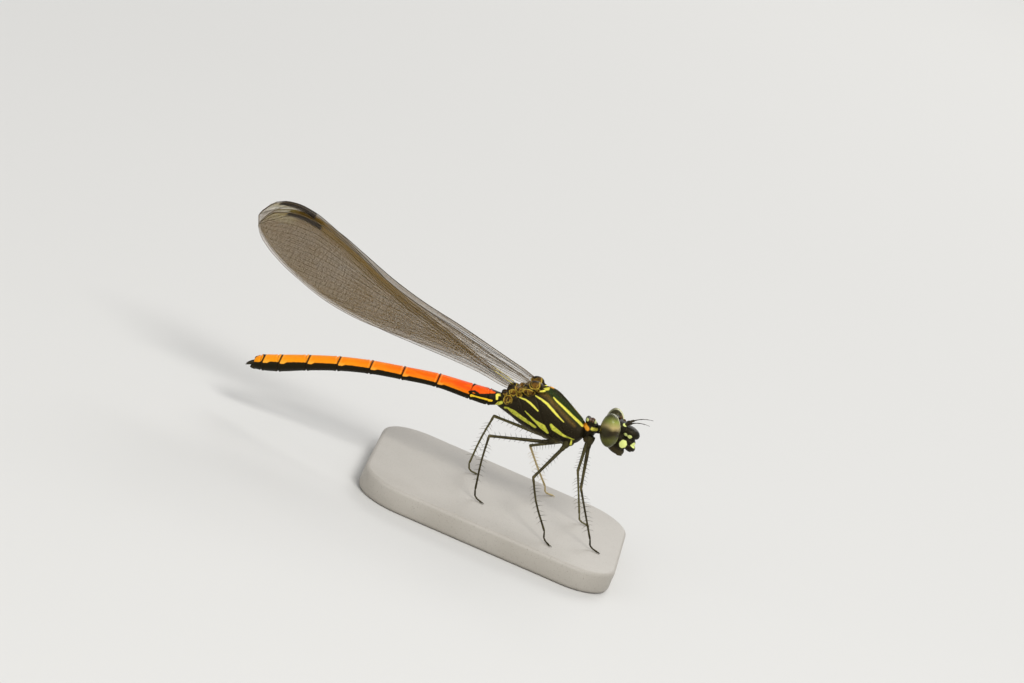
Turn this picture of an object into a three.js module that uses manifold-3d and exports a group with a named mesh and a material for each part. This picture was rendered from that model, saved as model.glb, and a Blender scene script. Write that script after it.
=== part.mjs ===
// A jewel damselfly at rest, life size, on a small flat display base.
// Millimetres, +Z up, +X towards the head, +Y towards the animal's left.
// The origin is the centre of the base's underside.
import * as THREE from "three";
import { mergeVertices } from "three/addons/utils/BufferGeometryUtils.js";
import Module from "manifold-3d";

const wasm = await Module();
wasm.setup();

// Driving sizes. Places are in the animal's own frame, with its feet at z = 0
const GAP = 0.25; // clearance kept between neighbouring pieces
const BASE = { length: 23, width: 19, height: 2, corner: 4, bevel: 0.35 };
const FEET_ABOVE_BASE = 0.25;
const ANIMAL_SHIFT = new THREE.Vector3(4.2, 0, BASE.height + FEET_ABOVE_BASE);
const SIDES = { right: -1, left: 1 };

// Thorax: stations along x with the height of its back and belly and its half width
const THORAX = [
  { x: 0.35, top: 8.35, belly: 7.75, half: 0.55 },
  { x: 0.1, top: 8.85, belly: 7.25, half: 0.92 },
  { x: -0.5, top: 9.25, belly: 6.8, half: 1.18 },
  { x: -1.3, top: 9.66, belly: 6.58, half: 1.38 },
  { x: -2.2, top: 10.12, belly: 6.42, half: 1.5 },
  { x: -3.2, top: 10.55, belly: 6.38, half: 1.55 },
  { x: -4.2, top: 10.6, belly: 6.45, half: 1.52 },
  { x: -5.2, top: 10.3, belly: 6.66, half: 1.4 },
  { x: -6.1, top: 9.72, belly: 6.95, half: 1.22 },
  { x: -6.9, top: 9.0, belly: 7.15, half: 0.98 },
  { x: -7.5, top: 8.5, belly: 7.3, half: 0.74 },
];
const THORAX_SIDES = 20;
const THORAX_WIDEST = 0.46; // share of the height where the thorax is widest
const ROOF_SLOPE = 0.2; // how far the back slopes like a roof
const KEEL = { front: -0.2, rear: -4.3, height: 0.1 }; // the ridge along the middle of the back
// Each suture runs up the side from low and forward to high and back, as [x, share of height]
const SUTURES = [
  [[-0.5, 0.3], [-1.9, 0.55], [-3.6, 0.86]],
  [[-1.3, 0.12], [-3.4, 0.45], [-5.4, 0.84]],
  [[-2.6, 0.06], [-4.8, 0.36], [-6.6, 0.8]],
];
const SUTURE = { radius: 0.08, steps: 7, sides: 5 };

// Wing hinges: swellings on the thorax that carry the wings, each an egg with its centre,
// its half sizes and its lean about y in degrees, as all eggs below
const HINGES = {
  fore: { at: [-5.15, 0.86, 10.42], half: [0.62, 0.42, 0.46], lean: -12 },
  hind: { at: [-6.72, 0.5, 9.22], half: [0.6, 0.38, 0.44], lean: -12 },
  rear: { at: [-7.05, 0.52, 8.2], half: [0.42, 0.4, 0.46], lean: -12 },
};
const BACK_PLATES = [
  { at: [-5.3, 0, 10.05], half: [0.9, 0.85, 0.5], lean: -30 },
  { at: [-6.6, 0, 9.0], half: [0.75, 0.7, 0.45], lean: -38 },
];

// Wings: root, tip and outline. Edges are [share of length, distance from the line root to tip]
const WINGS = {
  fore: {
    root: [-5.35, 1.16, 10.42],
    tip: [-32.2, 1.36, 13.75],
    front: [[0, 0.32], [0.11, 0.44], [0.3, 0.84], [0.42, 0.98], [0.54, 1.36], [0.67, 2.06],
      [0.76, 2.54], [0.84, 2.7], [0.9, 2.5], [0.95, 1.95], [0.985, 1.1], [1, 0.25]],
    rear: [[0, -0.34], [0.1, -0.46], [0.2, -0.82], [0.32, -1.5], [0.45, -2.25], [0.6, -2.85],
      [0.7, -2.85], [0.8, -2.45], [0.88, -1.95], [0.94, -1.35], [0.98, -0.7], [1, -0.2]],
  },
  hind: {
    root: [-6.95, 0.46, 9.28],
    tip: [-32.5, 0.46, 14.45],
    front: [[0, 0.4], [0.11, 0.46], [0.3, 0.86], [0.42, 1.02], [0.52, 1.36], [0.64, 2.0],
      [0.77, 2.58], [0.86, 2.76], [0.92, 2.5], [0.96, 1.95], [0.985, 1.2], [1, 0.3]],
    rear: [[0, -0.32], [0.1, -0.42], [0.22, -0.95], [0.34, -1.62], [0.47, -2.3], [0.6, -2.74],
      [0.72, -2.78], [0.82, -2.44], [0.9, -1.92], [0.95, -1.35], [0.985, -0.7], [1, -0.2]],
  },
};
const WING_ROWS = 19;
const ROW_CROWDING = 1.45; // above 1 the rows stand closer towards the tip
const RIDGES_GROW_OVER = 1 / 12; // share of the length over which the ridges rise out of the root
const MEMBRANE_HALF = 0.23;
const RIDGE_HEIGHT = 0.08; // how far a main vein stands out of each face
const RIDGE_WIDTH = 0.022; // half width, as a share of the chord
const FRONT_RIM = 0.05; // width of the thick front edge, as a share of the chord
const REAR_RIM = { width: 0.035, height: 0.6 };
const MAIN_VEINS = [0.14, 0.32, 0.52, 0.74]; // share of the chord, from the front edge
const SPOT = { from: 0.855, to: 0.935 }; // the thick dark spot near the tip, as shares of the length

// Abdomen: joints between its segments, with the middle line's height and the half sizes there
const ABDOMEN = [
  { x: -7.72, z: 7.86, rz: 0.58, ry: 0.64 },
  { x: -8.45, z: 7.66, rz: 0.74, ry: 0.76 },
  { x: -10.0, z: 7.47, rz: 0.72, ry: 0.74 },
  { x: -13.0, z: 7.18, rz: 0.62, ry: 0.7 },
  { x: -16.0, z: 6.54, rz: 0.6, ry: 0.7 },
  { x: -18.72, z: 5.88, rz: 0.61, ry: 0.72 },
  { x: -21.4, z: 5.0, rz: 0.65, ry: 0.75 },
  { x: -23.85, z: 3.98, rz: 0.7, ry: 0.8 },
  { x: -26.05, z: 2.96, rz: 0.75, ry: 0.84 },
  { x: -27.42, z: 2.4, rz: 0.68, ry: 0.76 },
  { x: -28.02, z: 2.13, rz: 0.53, ry: 0.56 },
];
const ABDOMEN_SIDES = 14;
const UNDERSIDE = 0.88; // the underside is flatter than the back by this share
const RIM = { width: 0.22, flare: 0.05, chamfer: 0.06 }; // the raised rim at both ends of a segment
const CERCUS = {
  start: [0, 0.28, 0.13],
  reach: [-0.75, 0.09, -0.5],
  hook: 0.12,
  radii: [0.25, 0.25, 0.19, 0.1],
};

// Head: turned a little to the right and tilted to the left, with places on it in its own frame
const HEAD = { at: [2.25, 0, 9.5], turn: -4, tilt: -5 };
const EYE = { at: [0, 1.68, 0.04], half: [0.86, 0.95, 1.46], lean: -15 };
const CROWN = { at: [0.05, 0, 0.08], half: [0.86, 1.5, 1.12], lean: -15 };
const FACE = {
  brow: { at: [0.62, 0, 0.42], half: [0.72, 0.95, 0.62], lean: 10 },
  nose: { at: [1.5, 0, 0.26], half: [0.98, 0.72, 0.58], lean: 4 },
  plate: { at: [1.78, 0, -0.42], half: [0.62, 0.74, 0.4], lean: 14 },
  upperLip: { at: [1.95, 0, -0.82], half: [0.62, 0.68, 0.42], lean: 24 },
  lowerLip: { at: [0.85, 0, -1.35], half: [0.95, 0.66, 0.52], lean: 18 },
  cheeks: { at: [0.55, 0, -0.5], half: [0.9, 0.92, 0.95], lean: 0 },
};
const SOCKET = { at: [0.9, 0.5, 0.72], half: [0.26, 0.24, 0.24], lean: 0 }; // carries the antenna
const JAW = { at: [1.22, 0.62, -0.78], half: [0.62, 0.3, 0.56], lean: 20 };
const HIND_OCELLUS = { at: [0.32, 0.34, 1.12], half: [0.17, 0.17, 0.16], lean: 0 };
const FRONT_OCELLUS = { at: [0.72, 0, 0.98], half: [0.18, 0.18, 0.16], lean: 0 };
const MOUTH = { at: [2.35, 0, -1.32], size: [1.6, 2.4, 0.12], lean: 20 };
const ANTENNA = { start: [1.14, 0.62, 1.08], way: [0.72, 0.42, 0.55], length: 2.3, bend: [0.25, 0, -0.4] };
const ANTENNA_STEPS = [[0, 0.25], [0.16, 0.25], [0.3, 0.2], [0.6, 0.15], [1, 0.1]]; // [share, radius]

// Prothorax: the small first ring, with a collar in front and a lobe behind, and the neck
const PROTHORAX = {
  body: { at: [0.52, 0, 8.56], half: [0.62, 0.86, 0.84], lean: 0 },
  collar: { at: [0.82, 0, 9.08], half: [0.3, 0.72, 0.34], lean: -20 },
  lobe: { at: [0.12, 0, 9.34], half: [0.24, 0.78, 0.3], lean: -14 },
};
const BOSS = { at: [0.47, 0.36, 9.28], half: [0.34, 0.34, 0.3], lean: 0 };
const NECK = { from: [0.62, 0, 8.66], to: [2.05, 0, 9.2], radius: 0.36, sides: 12 };

// Legs: the places where each is rooted and bends, down to its toe on the ground
const LEGS = {
  front_right: {
    root: [0.95, -0.62, 7.9], knee: [1.84, -2.2, 4.15], heel: [4.3, -3.1, 0.75], toe: [5.3, -3.3, 0.1],
  },
  front_left: {
    root: [0.75, 0.62, 7.86], knee: [1.12, 2.05, 4.2], heel: [2.75, 2.6, 0.75], toe: [3.75, 2.85, 0.1],
  },
  middle_right: {
    root: [-0.75, -0.7, 6.8], knee: [-2.25, -3.2, 3.6], heel: [0.4, -6.3, 0.75], toe: [1.2, -7.0, 0.1],
  },
  middle_left: {
    root: [-0.85, 0.7, 6.75], knee: [-3.5, 3.35, 4.2], heel: [-0.85, 6.2, 0.75], toe: [0.05, 6.95, 0.1],
  },
  hind_right: {
    root: [-1.95, -0.62, 6.5], knee: [-7.09, -2.05, 5.1], heel: [-6.35, -3.1, 0.75], toe: [-5.45, -3.45, 0.1],
  },
  hind_left: {
    root: [-2.1, 0.62, 6.45], knee: [-7.38, 2.1, 5.7], heel: [-7.7, 3.4, 0.75], toe: [-6.8, 3.75, 0.1],
  },
};
const LEG_SIDES = 8;
const THIGH = {
  sunk: 0.5,
  drop: 0.12,
  hip: 0.12, // share of the way from the root to the knee, as are the places below it
  shares: [0.3, 0.65, 0.94, 1],
  radii: [0.46, 0.46, 0.34, 0.3, 0.27, 0.27, 0.29],
};
const SHIN = { knee: 0.31, ankle: 0.34, pad: 0.16, radii: [0.25, 0.25, 0.25, 0.25, 0.24, 0.22, 0.16] };
const GROUND = { size: 40, depth: 1 }; // the block below the feet that cuts them flat

const paint = (color, roughness) => new THREE.MeshStandardMaterial({ color, roughness, metalness: 0 });
const PAINT = {
  black: paint(0x17170f, 0.45),
  amber: paint(0xf06a12, 0.4),
  eye: paint(0x4a3a1e, 0.15),
  wing: paint(0x4b421c, 0.35),
  leg: paint(0x1d1a10, 0.5),
  base: paint(0xd9d5ca, 0.6),
};

// Shapes

const radians = THREE.MathUtils.degToRad;
const place = (p, side = 1) => new THREE.Vector3(p[0], side * p[1], p[2]);
const between = (a, b, t) => a.clone().lerp(b, t);
const mix = (a, b, t) => a + (b - a) * t;
const joined = (pieces) => pieces.reduce((a, b) => a.add(b));

// A closed mesh as a solid that can be joined and cut
function solid(geometry) {
  const bare = geometry.clone();
  bare.deleteAttribute("normal");
  bare.deleteAttribute("uv");
  const merged = mergeVertices(bare, 1e-4);
  return new wasm.Manifold(
    new wasm.Mesh({
      numProp: 3,
      vertProperties: new Float32Array(merged.attributes.position.array),
      triVerts: new Uint32Array(merged.index.array),
    }),
  );
}

// A solid of points and triangles, turned inside out where its faces point inwards
function solidOf(points, index) {
  const geometry = new THREE.BufferGeometry().setFromPoints(points);
  const made = solid(geometry.setIndex(index));
  return made.volume() > 0 ? made : solid(geometry.setIndex(index.reverse()));
}

// The named mesh of a solid, which keeps only its largest closed body
function node(name, made, material) {
  const largest = made.decompose().reduce((a, b) => (a.volume() > b.volume() ? a : b));
  const m = largest.getMesh();
  const places = new Float32Array(m.numVert * 3);
  for (let i = 0; i < m.numVert; i++)
    places.set(m.vertProperties.subarray(i * m.numProp, i * m.numProp + 3), i * 3);
  const geometry = new THREE.BufferGeometry()
    .setAttribute("position", new THREE.BufferAttribute(places, 3))
    .setIndex(new THREE.BufferAttribute(m.triVerts, 1));
  geometry.computeVertexNormals();
  const mesh = new THREE.Mesh(geometry, material);
  mesh.name = name;
  return mesh;
}

// A closed body through rings of points that all run the same way round
function loft(rings) {
  const n = rings[0].length;
  const points = rings.flat();
  const middle = (ring) => ring.reduce((a, p) => a.add(p), new THREE.Vector3()).divideScalar(n);
  const first = points.push(middle(rings[0])) - 1;
  const last = points.push(middle(rings[rings.length - 1])) - 1;
  const end = (rings.length - 1) * n;
  const index = [];
  for (let i = 0; i < n; i++) {
    const j = (i + 1) % n;
    for (let ring = 0; ring < end; ring += n)
      index.push(ring + i, ring + j, ring + n + i, ring + j, ring + n + j, ring + n + i);
    index.push(first, j, i, last, end + i, end + j);
  }
  return solidOf(points, index);
}

// A round bar through points, with a radius at each
function bar(points, radii, sides = LEG_SIDES) {
  const ways = points.map((_, i) => {
    const before = points[Math.max(i - 1, 0)];
    const after = points[Math.min(i + 1, points.length - 1)];
    return after.clone().sub(before).normalize();
  });
  const nearlyAlongY = 0.2;
  let across = new THREE.Vector3(0, 1, 0).cross(ways[0]);
  if (across.length() < nearlyAlongY) across = new THREE.Vector3(1, 0, 0).cross(ways[0]);
  const rings = points.map((p, i) => {
    across.addScaledVector(ways[i], -across.dot(ways[i])).normalize();
    const up = ways[i].clone().cross(across);
    return Array.from({ length: sides }, (_, k) => {
      const turn = (2 * Math.PI * k) / sides;
      return p
        .clone()
        .addScaledVector(across, radii[i] * Math.cos(turn))
        .addScaledVector(up, radii[i] * Math.sin(turn));
    });
  });
  return loft(rings);
}

// An egg on one side or in the middle, with its facets round and down and how far it is grown
function egg({ at, half, lean }, around, down, side = 1, grow = 0) {
  const geometry = new THREE.SphereGeometry(1, around, down);
  geometry.rotateX(Math.PI / 2);
  geometry.scale(half[0] + grow, half[1] + grow, half[2] + grow);
  geometry.rotateY(radians(lean));
  geometry.translate(at[0], side * at[1], at[2]);
  return solid(geometry);
}

// The value at t of a smooth line through [place, value] pairs
function along(pairs, t) {
  let i = 0;
  while (i < pairs.length - 2 && t > pairs[i + 1][0]) i++;
  const before = pairs[Math.max(i - 1, 0)];
  const [a, b] = [pairs[i], pairs[i + 1]];
  const after = pairs[Math.min(i + 2, pairs.length - 1)];
  const span = b[0] - a[0];
  const u = (t - a[0]) / span;
  const slopeA = ((b[1] - before[1]) / (b[0] - before[0])) * span;
  const slopeB = ((after[1] - a[1]) / (after[0] - a[0])) * span;
  const [u2, u3] = [u * u, u * u * u];
  return (2 * u3 - 3 * u2 + 1) * a[1] + (u3 - 2 * u2 + u) * slopeA
    + (3 * u2 - 2 * u3) * b[1] + (u3 - u2) * slopeB;
}

// One size of a row of stations as [place, value] pairs, with the place growing backwards
const pairsOf = (stations, key) => stations.map((s) => [-s.x, s[key]]);

// Thorax

const THORAX_TOP = pairsOf(THORAX, "top");
const THORAX_BELLY = pairsOf(THORAX, "belly");
const THORAX_HALF = pairsOf(THORAX, "half");

// A point on the thorax at x and at an angle round it, 0 at the back and 180 at the belly
function thoraxPoint(x, degrees, grow = 0) {
  const inside = THREE.MathUtils.clamp(-x, THORAX_TOP[0][0], THORAX_TOP[THORAX_TOP.length - 1][0]);
  const top = along(THORAX_TOP, inside) + grow;
  const belly = along(THORAX_BELLY, inside) - grow;
  const half = along(THORAX_HALF, inside) + grow;
  const [s, c] = [Math.sin(radians(degrees)), Math.cos(radians(degrees))];
  const centre = mix(belly, top, THORAX_WIDEST);
  const height = c > 0 ? top - centre : centre - belly;
  const roof = c > 0 ? 1 - ROOF_SLOPE * c * c * Math.abs(s) : 1;
  const keel = degrees === 0 && x < KEEL.front && x > KEEL.rear ? KEEL.height : 0;
  return new THREE.Vector3(x, half * s * roof, centre + height * c * roof + keel);
}

// The thorax without its hinges, or the room round it when it is grown
function thoraxBody(grow = 0) {
  const stations = [THORAX[0].x + grow];
  THORAX.slice(1).forEach(({ x }, i) => stations.push(mix(THORAX[i].x, x, 0.5), x));
  if (grow > 0) {
    stations.splice(1, 0, THORAX[0].x);
    stations.push(THORAX[THORAX.length - 1].x - grow);
  }
  return loft(
    stations.map((x) =>
      Array.from({ length: THORAX_SIDES }, (_, k) => thoraxPoint(x, (360 * k) / THORAX_SIDES, grow)),
    ),
  );
}

// The ridge that follows one suture up a side, thickest in its middle
function suture(points, side) {
  const pairs = points.map(([x, share]) => [-x, share]);
  const shares = Array.from({ length: SUTURE.steps + 1 }, (_, i) => i / SUTURE.steps);
  const line = shares.map((t) => {
    const x = mix(points[0][0], points[points.length - 1][0], t);
    return thoraxPoint(x, side * (180 - 180 * along(pairs, -x)));
  });
  const radii = shares.map((t) => SUTURE.radius * (0.6 + 0.6 * Math.sin(Math.PI * t)));
  return bar(line, radii, SUTURE.sides);
}

const hingeEgg = (hinge, side, grow = 0) => egg(hinge, 10, 7, side, grow);

function thorax() {
  const pieces = [thoraxBody()];
  for (const side of Object.values(SIDES)) {
    for (const line of SUTURES) pieces.push(suture(line, side));
    for (const hinge of Object.values(HINGES)) pieces.push(hingeEgg(hinge, side));
  }
  for (const plate of BACK_PLATES) pieces.push(egg(plate, 12, 7));
  return joined(pieces);
}

// Wings

// Lines along the wing: their share of the chord, and how far they rise, 1 on a vein
function wingColumns() {
  const columns = [
    { v: 0, rise: 1 },
    { v: FRONT_RIM, rise: 1 },
    { v: FRONT_RIM * 1.5, rise: 0 },
  ];
  for (const v of MAIN_VEINS)
    columns.push({ v: v - RIDGE_WIDTH, rise: 0 }, { v, rise: 1 }, { v: v + RIDGE_WIDTH, rise: 0 });
  columns.push({ v: 1 - REAR_RIM.width, rise: 0 }, { v: 1, rise: REAR_RIM.height });
  return columns;
}

// The wing's blade: two faces cut into the same triangles, and the rim between them
function wing(shape, side) {
  const [root, tip] = [place(shape.root, side), place(shape.tip, side)];
  const axis = tip.clone().sub(root).normalize();
  const forward = new THREE.Vector3(axis.z, 0, -axis.x).normalize();
  const columns = wingColumns();
  const faces = [[], []];
  for (let r = 0; r <= WING_ROWS; r++) {
    const t = 1 - (1 - r / WING_ROWS) ** ROW_CROWDING;
    const inSpot = t > SPOT.from && t < SPOT.to;
    const [front, rear] = [along(shape.front, t), along(shape.rear, t)];
    const grown = Math.min(1, t / RIDGES_GROW_OVER);
    for (const { v, rise } of columns) {
      const onSpot = inSpot && v >= FRONT_RIM && v < MAIN_VEINS[0];
      const half = MEMBRANE_HALF + RIDGE_HEIGHT * (onSpot ? 1 : rise) * grown;
      const p = between(root, tip, t).addScaledVector(forward, mix(front, rear, v));
      faces.forEach((face, f) => face.push(p.clone().setY(p.y + (f ? -half : half))));
    }
  }
  const wide = columns.length;
  const count = faces[0].length;
  const upper = (r, c) => r * wide + c;
  const under = (r, c) => count + r * wide + c;
  const index = [];
  const quad = (a, b, c, d) => index.push(a, b, c, a, c, d);
  for (let r = 0; r < WING_ROWS; r++)
    for (let c = 0; c < wide - 1; c++) {
      quad(upper(r, c + 1), upper(r + 1, c + 1), upper(r + 1, c), upper(r, c));
      quad(under(r + 1, c), under(r + 1, c + 1), under(r, c + 1), under(r, c));
    }
  const last = wide - 1;
  for (let r = 0; r < WING_ROWS; r++) {
    quad(upper(r, 0), upper(r + 1, 0), under(r + 1, 0), under(r, 0));
    quad(upper(r + 1, last), upper(r, last), under(r, last), under(r + 1, last));
  }
  for (let c = 0; c < last; c++) {
    quad(upper(0, c + 1), upper(0, c), under(0, c), under(0, c + 1));
    quad(upper(WING_ROWS, c), upper(WING_ROWS, c + 1), under(WING_ROWS, c + 1), under(WING_ROWS, c));
  }
  return solidOf(faces.flat(), index);
}

// Abdomen

const ABDOMEN_LINE = { z: pairsOf(ABDOMEN, "z"), rz: pairsOf(ABDOMEN, "rz"), ry: pairsOf(ABDOMEN, "ry") };

function abdomenRing(x, flare) {
  const step = 0.05;
  const z = along(ABDOMEN_LINE.z, -x);
  const slope = (along(ABDOMEN_LINE.z, -x + step) - along(ABDOMEN_LINE.z, -x - step)) / (2 * step);
  const up = new THREE.Vector3(slope, 0, 1).normalize();
  const [rz, ry] = [along(ABDOMEN_LINE.rz, -x) + flare, along(ABDOMEN_LINE.ry, -x) + flare];
  return Array.from({ length: ABDOMEN_SIDES }, (_, k) => {
    const turn = (2 * Math.PI * k) / ABDOMEN_SIDES;
    const flat = Math.cos(turn) < 0 ? UNDERSIDE : 1;
    return new THREE.Vector3(x, ry * Math.sin(turn), z).addScaledVector(up, rz * flat * Math.cos(turn));
  });
}

// One segment, with a chamfered and raised rim at both ends
function segment(index) {
  const isLast = index === ABDOMEN.length - 2;
  const from = ABDOMEN[index].x - GAP / 2;
  const to = ABDOMEN[index + 1].x + (isLast ? 0 : GAP / 2);
  const rim = Math.min(RIM.width, (from - to) / 4);
  const stations = [
    [from, -RIM.chamfer], [from - rim * 0.4, RIM.flare], [from - rim * 1.3, 0],
    [mix(from, to, 0.5), 0],
    [to + rim * 1.3, 0], [to + rim * 0.4, RIM.flare], [to, -RIM.chamfer],
  ];
  return loft(stations.map(([x, flare]) => abdomenRing(x, flare)));
}

// One of the two claspers at the end of the abdomen, which hook towards each other
function cercus(side) {
  const end = ABDOMEN[ABDOMEN.length - 1];
  const start = place(CERCUS.start, side).add(new THREE.Vector3(end.x - GAP, 0, end.z));
  const shares = [0, 0.35, 0.7, 1];
  const points = shares.map((t) => {
    const p = start.clone().addScaledVector(place(CERCUS.reach, side), t);
    return p.setY(p.y - side * CERCUS.hook * t * t);
  });
  return bar(points, CERCUS.radii, 7);
}

// Head

const headGroup = new THREE.Group();
headGroup.position.copy(place(HEAD.at));
headGroup.rotation.set(radians(HEAD.tilt), 0, radians(HEAD.turn));

const eyeEgg = (side, grow = 0) => egg(EYE, 16, 10, side, grow);

// The hard parts of the head, hollowed for the eyes, with the line of the mouth between the lips
function head() {
  const pieces = [egg(CROWN, 16, 10), egg(FRONT_OCELLUS, 8, 5)];
  for (const form of Object.values(FACE)) pieces.push(egg(form, 14, form === FACE.brow ? 8 : 7));
  for (const side of Object.values(SIDES))
    pieces.push(egg(JAW, 10, 6, side), egg(HIND_OCELLUS, 8, 5, side), egg(SOCKET, 10, 6, side));
  const eyeRoom = joined(Object.values(SIDES).map((side) => eyeEgg(side, GAP)));
  const mouth = new THREE.BoxGeometry(...MOUTH.size);
  mouth.rotateY(radians(MOUTH.lean));
  mouth.translate(...MOUTH.at);
  return joined(pieces).subtract(eyeRoom).subtract(solid(mouth));
}

function antenna(side) {
  const reach = place(ANTENNA.way, side).setLength(ANTENNA.length);
  const points = ANTENNA_STEPS.map(([t]) =>
    place(ANTENNA.start, side).addScaledVector(reach, t).addScaledVector(place(ANTENNA.bend), t * t),
  );
  const radii = ANTENNA_STEPS.map(([, radius]) => radius);
  return bar(points, radii, 6).subtract(egg(SOCKET, 10, 6, side, GAP));
}

// Prothorax and neck

// The room round the crown, in the animal's frame
const headShell = () => egg({ ...CROWN, at: CROWN.at.map((c, i) => c + HEAD.at[i]) }, 16, 10, 1, GAP);

function prothorax() {
  const pieces = Object.values(PROTHORAX).map((form) => egg(form, 14, form === PROTHORAX.body ? 8 : 7));
  for (const side of Object.values(SIDES)) pieces.push(egg(BOSS, 10, 6, side));
  return joined(pieces).subtract(thoraxBody(GAP)).subtract(headShell());
}

// The room round the prothorax
const prothoraxShell = () =>
  egg(PROTHORAX.body, 16, 10, 1, GAP).add(egg(PROTHORAX.collar, 14, 8, 1, GAP));

const neck = () =>
  bar([place(NECK.from), place(NECK.to)], [NECK.radius, NECK.radius], NECK.sides)
    .subtract(prothoraxShell())
    .subtract(headShell());

// Legs

// Hip and thigh, with the hip sunk towards the body and cut clear of it
function thigh(leg) {
  const [root, knee] = [place(leg.root), place(leg.knee)];
  const inner = root.clone().setZ(root.z + THIGH.sunk);
  const hip = between(root, knee, THIGH.hip);
  hip.z -= THIGH.drop;
  const lower = THIGH.shares.map((t) => between(root, knee, t));
  return bar([inner, root, hip, ...lower], THIGH.radii)
    .subtract(thoraxBody(GAP))
    .subtract(prothoraxShell());
}

// The room round the thigh that the shin stays out of
function thighShell(leg) {
  const [root, knee] = [place(leg.root), place(leg.knee)];
  const radius = THIGH.radii[3] + GAP;
  return bar([between(root, knee, THIGH.shares[0]), between(root, knee, 0.999)], [radius, radius]);
}

// Shin and foot, cut flat where the foot stands on the ground
function shin(leg) {
  const [knee, heel, toe] = [place(leg.knee), place(leg.heel), place(leg.toe)];
  const points = [
    knee, between(knee, heel, 0.3), between(knee, heel, 0.7), heel.clone().setZ(heel.z - 0.06),
    between(heel, toe, 0.22).setZ(SHIN.ankle), between(heel, toe, 0.5).setZ(SHIN.pad), toe,
  ];
  const ball = SHIN.knee + GAP;
  const kneeRoom = egg({ at: leg.knee, half: [ball, ball, ball], lean: 0 }, 12, 8);
  const ground = new THREE.BoxGeometry(GROUND.size, GROUND.size, GROUND.depth);
  ground.translate(0, 0, -GROUND.depth / 2);
  return bar(points, SHIN.radii)
    .subtract(kneeRoom)
    .subtract(thighShell(leg))
    .subtract(solid(ground));
}

// Display base

function base() {
  const { length, width, height, corner, bevel } = BASE;
  const [x, y] = [length / 2 - bevel - corner, width / 2 - bevel - corner];
  const outline = new THREE.Shape();
  [[x, -y], [x, y], [-x, y], [-x, -y]].forEach(([cx, cy], quarter) => {
    const start = (quarter - 1) * (Math.PI / 2);
    outline.absarc(cx, cy, corner, start, start + Math.PI / 2);
  });
  const slab = new THREE.ExtrudeGeometry(outline, {
    depth: height - 2 * bevel,
    bevelThickness: bevel,
    bevelSize: bevel,
    bevelSegments: 2,
    curveSegments: 5,
  });
  slab.translate(0, 0, bevel);
  return solid(slab);
}

// The whole

const root = new THREE.Group();
const animal = new THREE.Group();
animal.position.copy(ANIMAL_SHIFT);
root.add(animal, node("stand_base", base(), PAINT.base));
animal.add(headGroup);
headGroup.add(node("head", head(), PAINT.black));

// The room round the body that the wings stay out of
const wingRoom = joined(
  Object.values(SIDES).flatMap((side) =>
    [HINGES.fore, HINGES.hind].map((hinge) => hingeEgg(hinge, side, GAP)),
  ),
).add(thoraxBody(GAP));
for (const [name, side] of Object.entries(SIDES)) {
  headGroup.add(node(`eye_${name}`, eyeEgg(side), PAINT.eye));
  headGroup.add(node(`antenna_${name}`, antenna(side), PAINT.leg));
  for (const [pair, shape] of Object.entries(WINGS))
    animal.add(node(`wing_${pair}_${name}`, wing(shape, side).subtract(wingRoom), PAINT.wing));
  animal.add(node(`cercus_${name}`, cercus(side), PAINT.black));
}
animal.add(node("neck", neck(), PAINT.black));
animal.add(node("prothorax", prothorax(), PAINT.black));
animal.add(node("thorax", thorax(), PAINT.black));
for (const [name, leg] of Object.entries(LEGS)) {
  animal.add(node(`leg_${name}_thigh`, thigh(leg), PAINT.leg));
  animal.add(node(`leg_${name}_shin`, shin(leg), PAINT.leg));
}
for (let i = 0; i < ABDOMEN.length - 1; i++)
  animal.add(node(`abdomen_${i + 1}`, segment(i), PAINT.amber));

export default root;
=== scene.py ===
"""A jewel damselfly at rest, life size, standing on a small flat display base."""

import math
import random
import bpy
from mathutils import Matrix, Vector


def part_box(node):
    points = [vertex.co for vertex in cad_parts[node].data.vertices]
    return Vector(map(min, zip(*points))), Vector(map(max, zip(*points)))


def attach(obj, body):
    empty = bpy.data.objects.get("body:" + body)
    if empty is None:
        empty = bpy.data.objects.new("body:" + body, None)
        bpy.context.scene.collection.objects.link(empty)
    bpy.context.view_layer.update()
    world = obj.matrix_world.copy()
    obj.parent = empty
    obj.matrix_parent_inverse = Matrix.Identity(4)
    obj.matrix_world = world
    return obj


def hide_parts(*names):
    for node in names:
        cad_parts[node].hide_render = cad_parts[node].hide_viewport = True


bl_info = {
    "name": "Jewel Damselfly",
    "version": (1, 0, 0),
    "blender": (4, 5, 0),
    "location": "View3D > Sidebar > Damselfly",
    "description": "Builds a life-size jewel damselfly at rest on a display base",
    "category": "Object",
}

import bpy
import numpy as np
from mathutils import Matrix, Vector

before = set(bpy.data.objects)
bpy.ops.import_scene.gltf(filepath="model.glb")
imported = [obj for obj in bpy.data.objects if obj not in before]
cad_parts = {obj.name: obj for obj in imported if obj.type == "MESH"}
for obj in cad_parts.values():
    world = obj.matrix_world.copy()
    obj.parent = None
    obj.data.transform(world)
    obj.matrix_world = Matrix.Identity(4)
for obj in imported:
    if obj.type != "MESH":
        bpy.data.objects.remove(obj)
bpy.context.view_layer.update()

# The frame is in metres; shapes are made in millimetres in the animal's own frame
MM = 0.001
BASE_LOW, BASE_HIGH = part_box("stand_base")
FEET_GAP = 0.25  # the origin's height over the base
ANIMAL = Vector((4.2, 0, BASE_HIGH.z / MM + FEET_GAP))
SIDES = {"right": -1, "left": 1}

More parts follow.
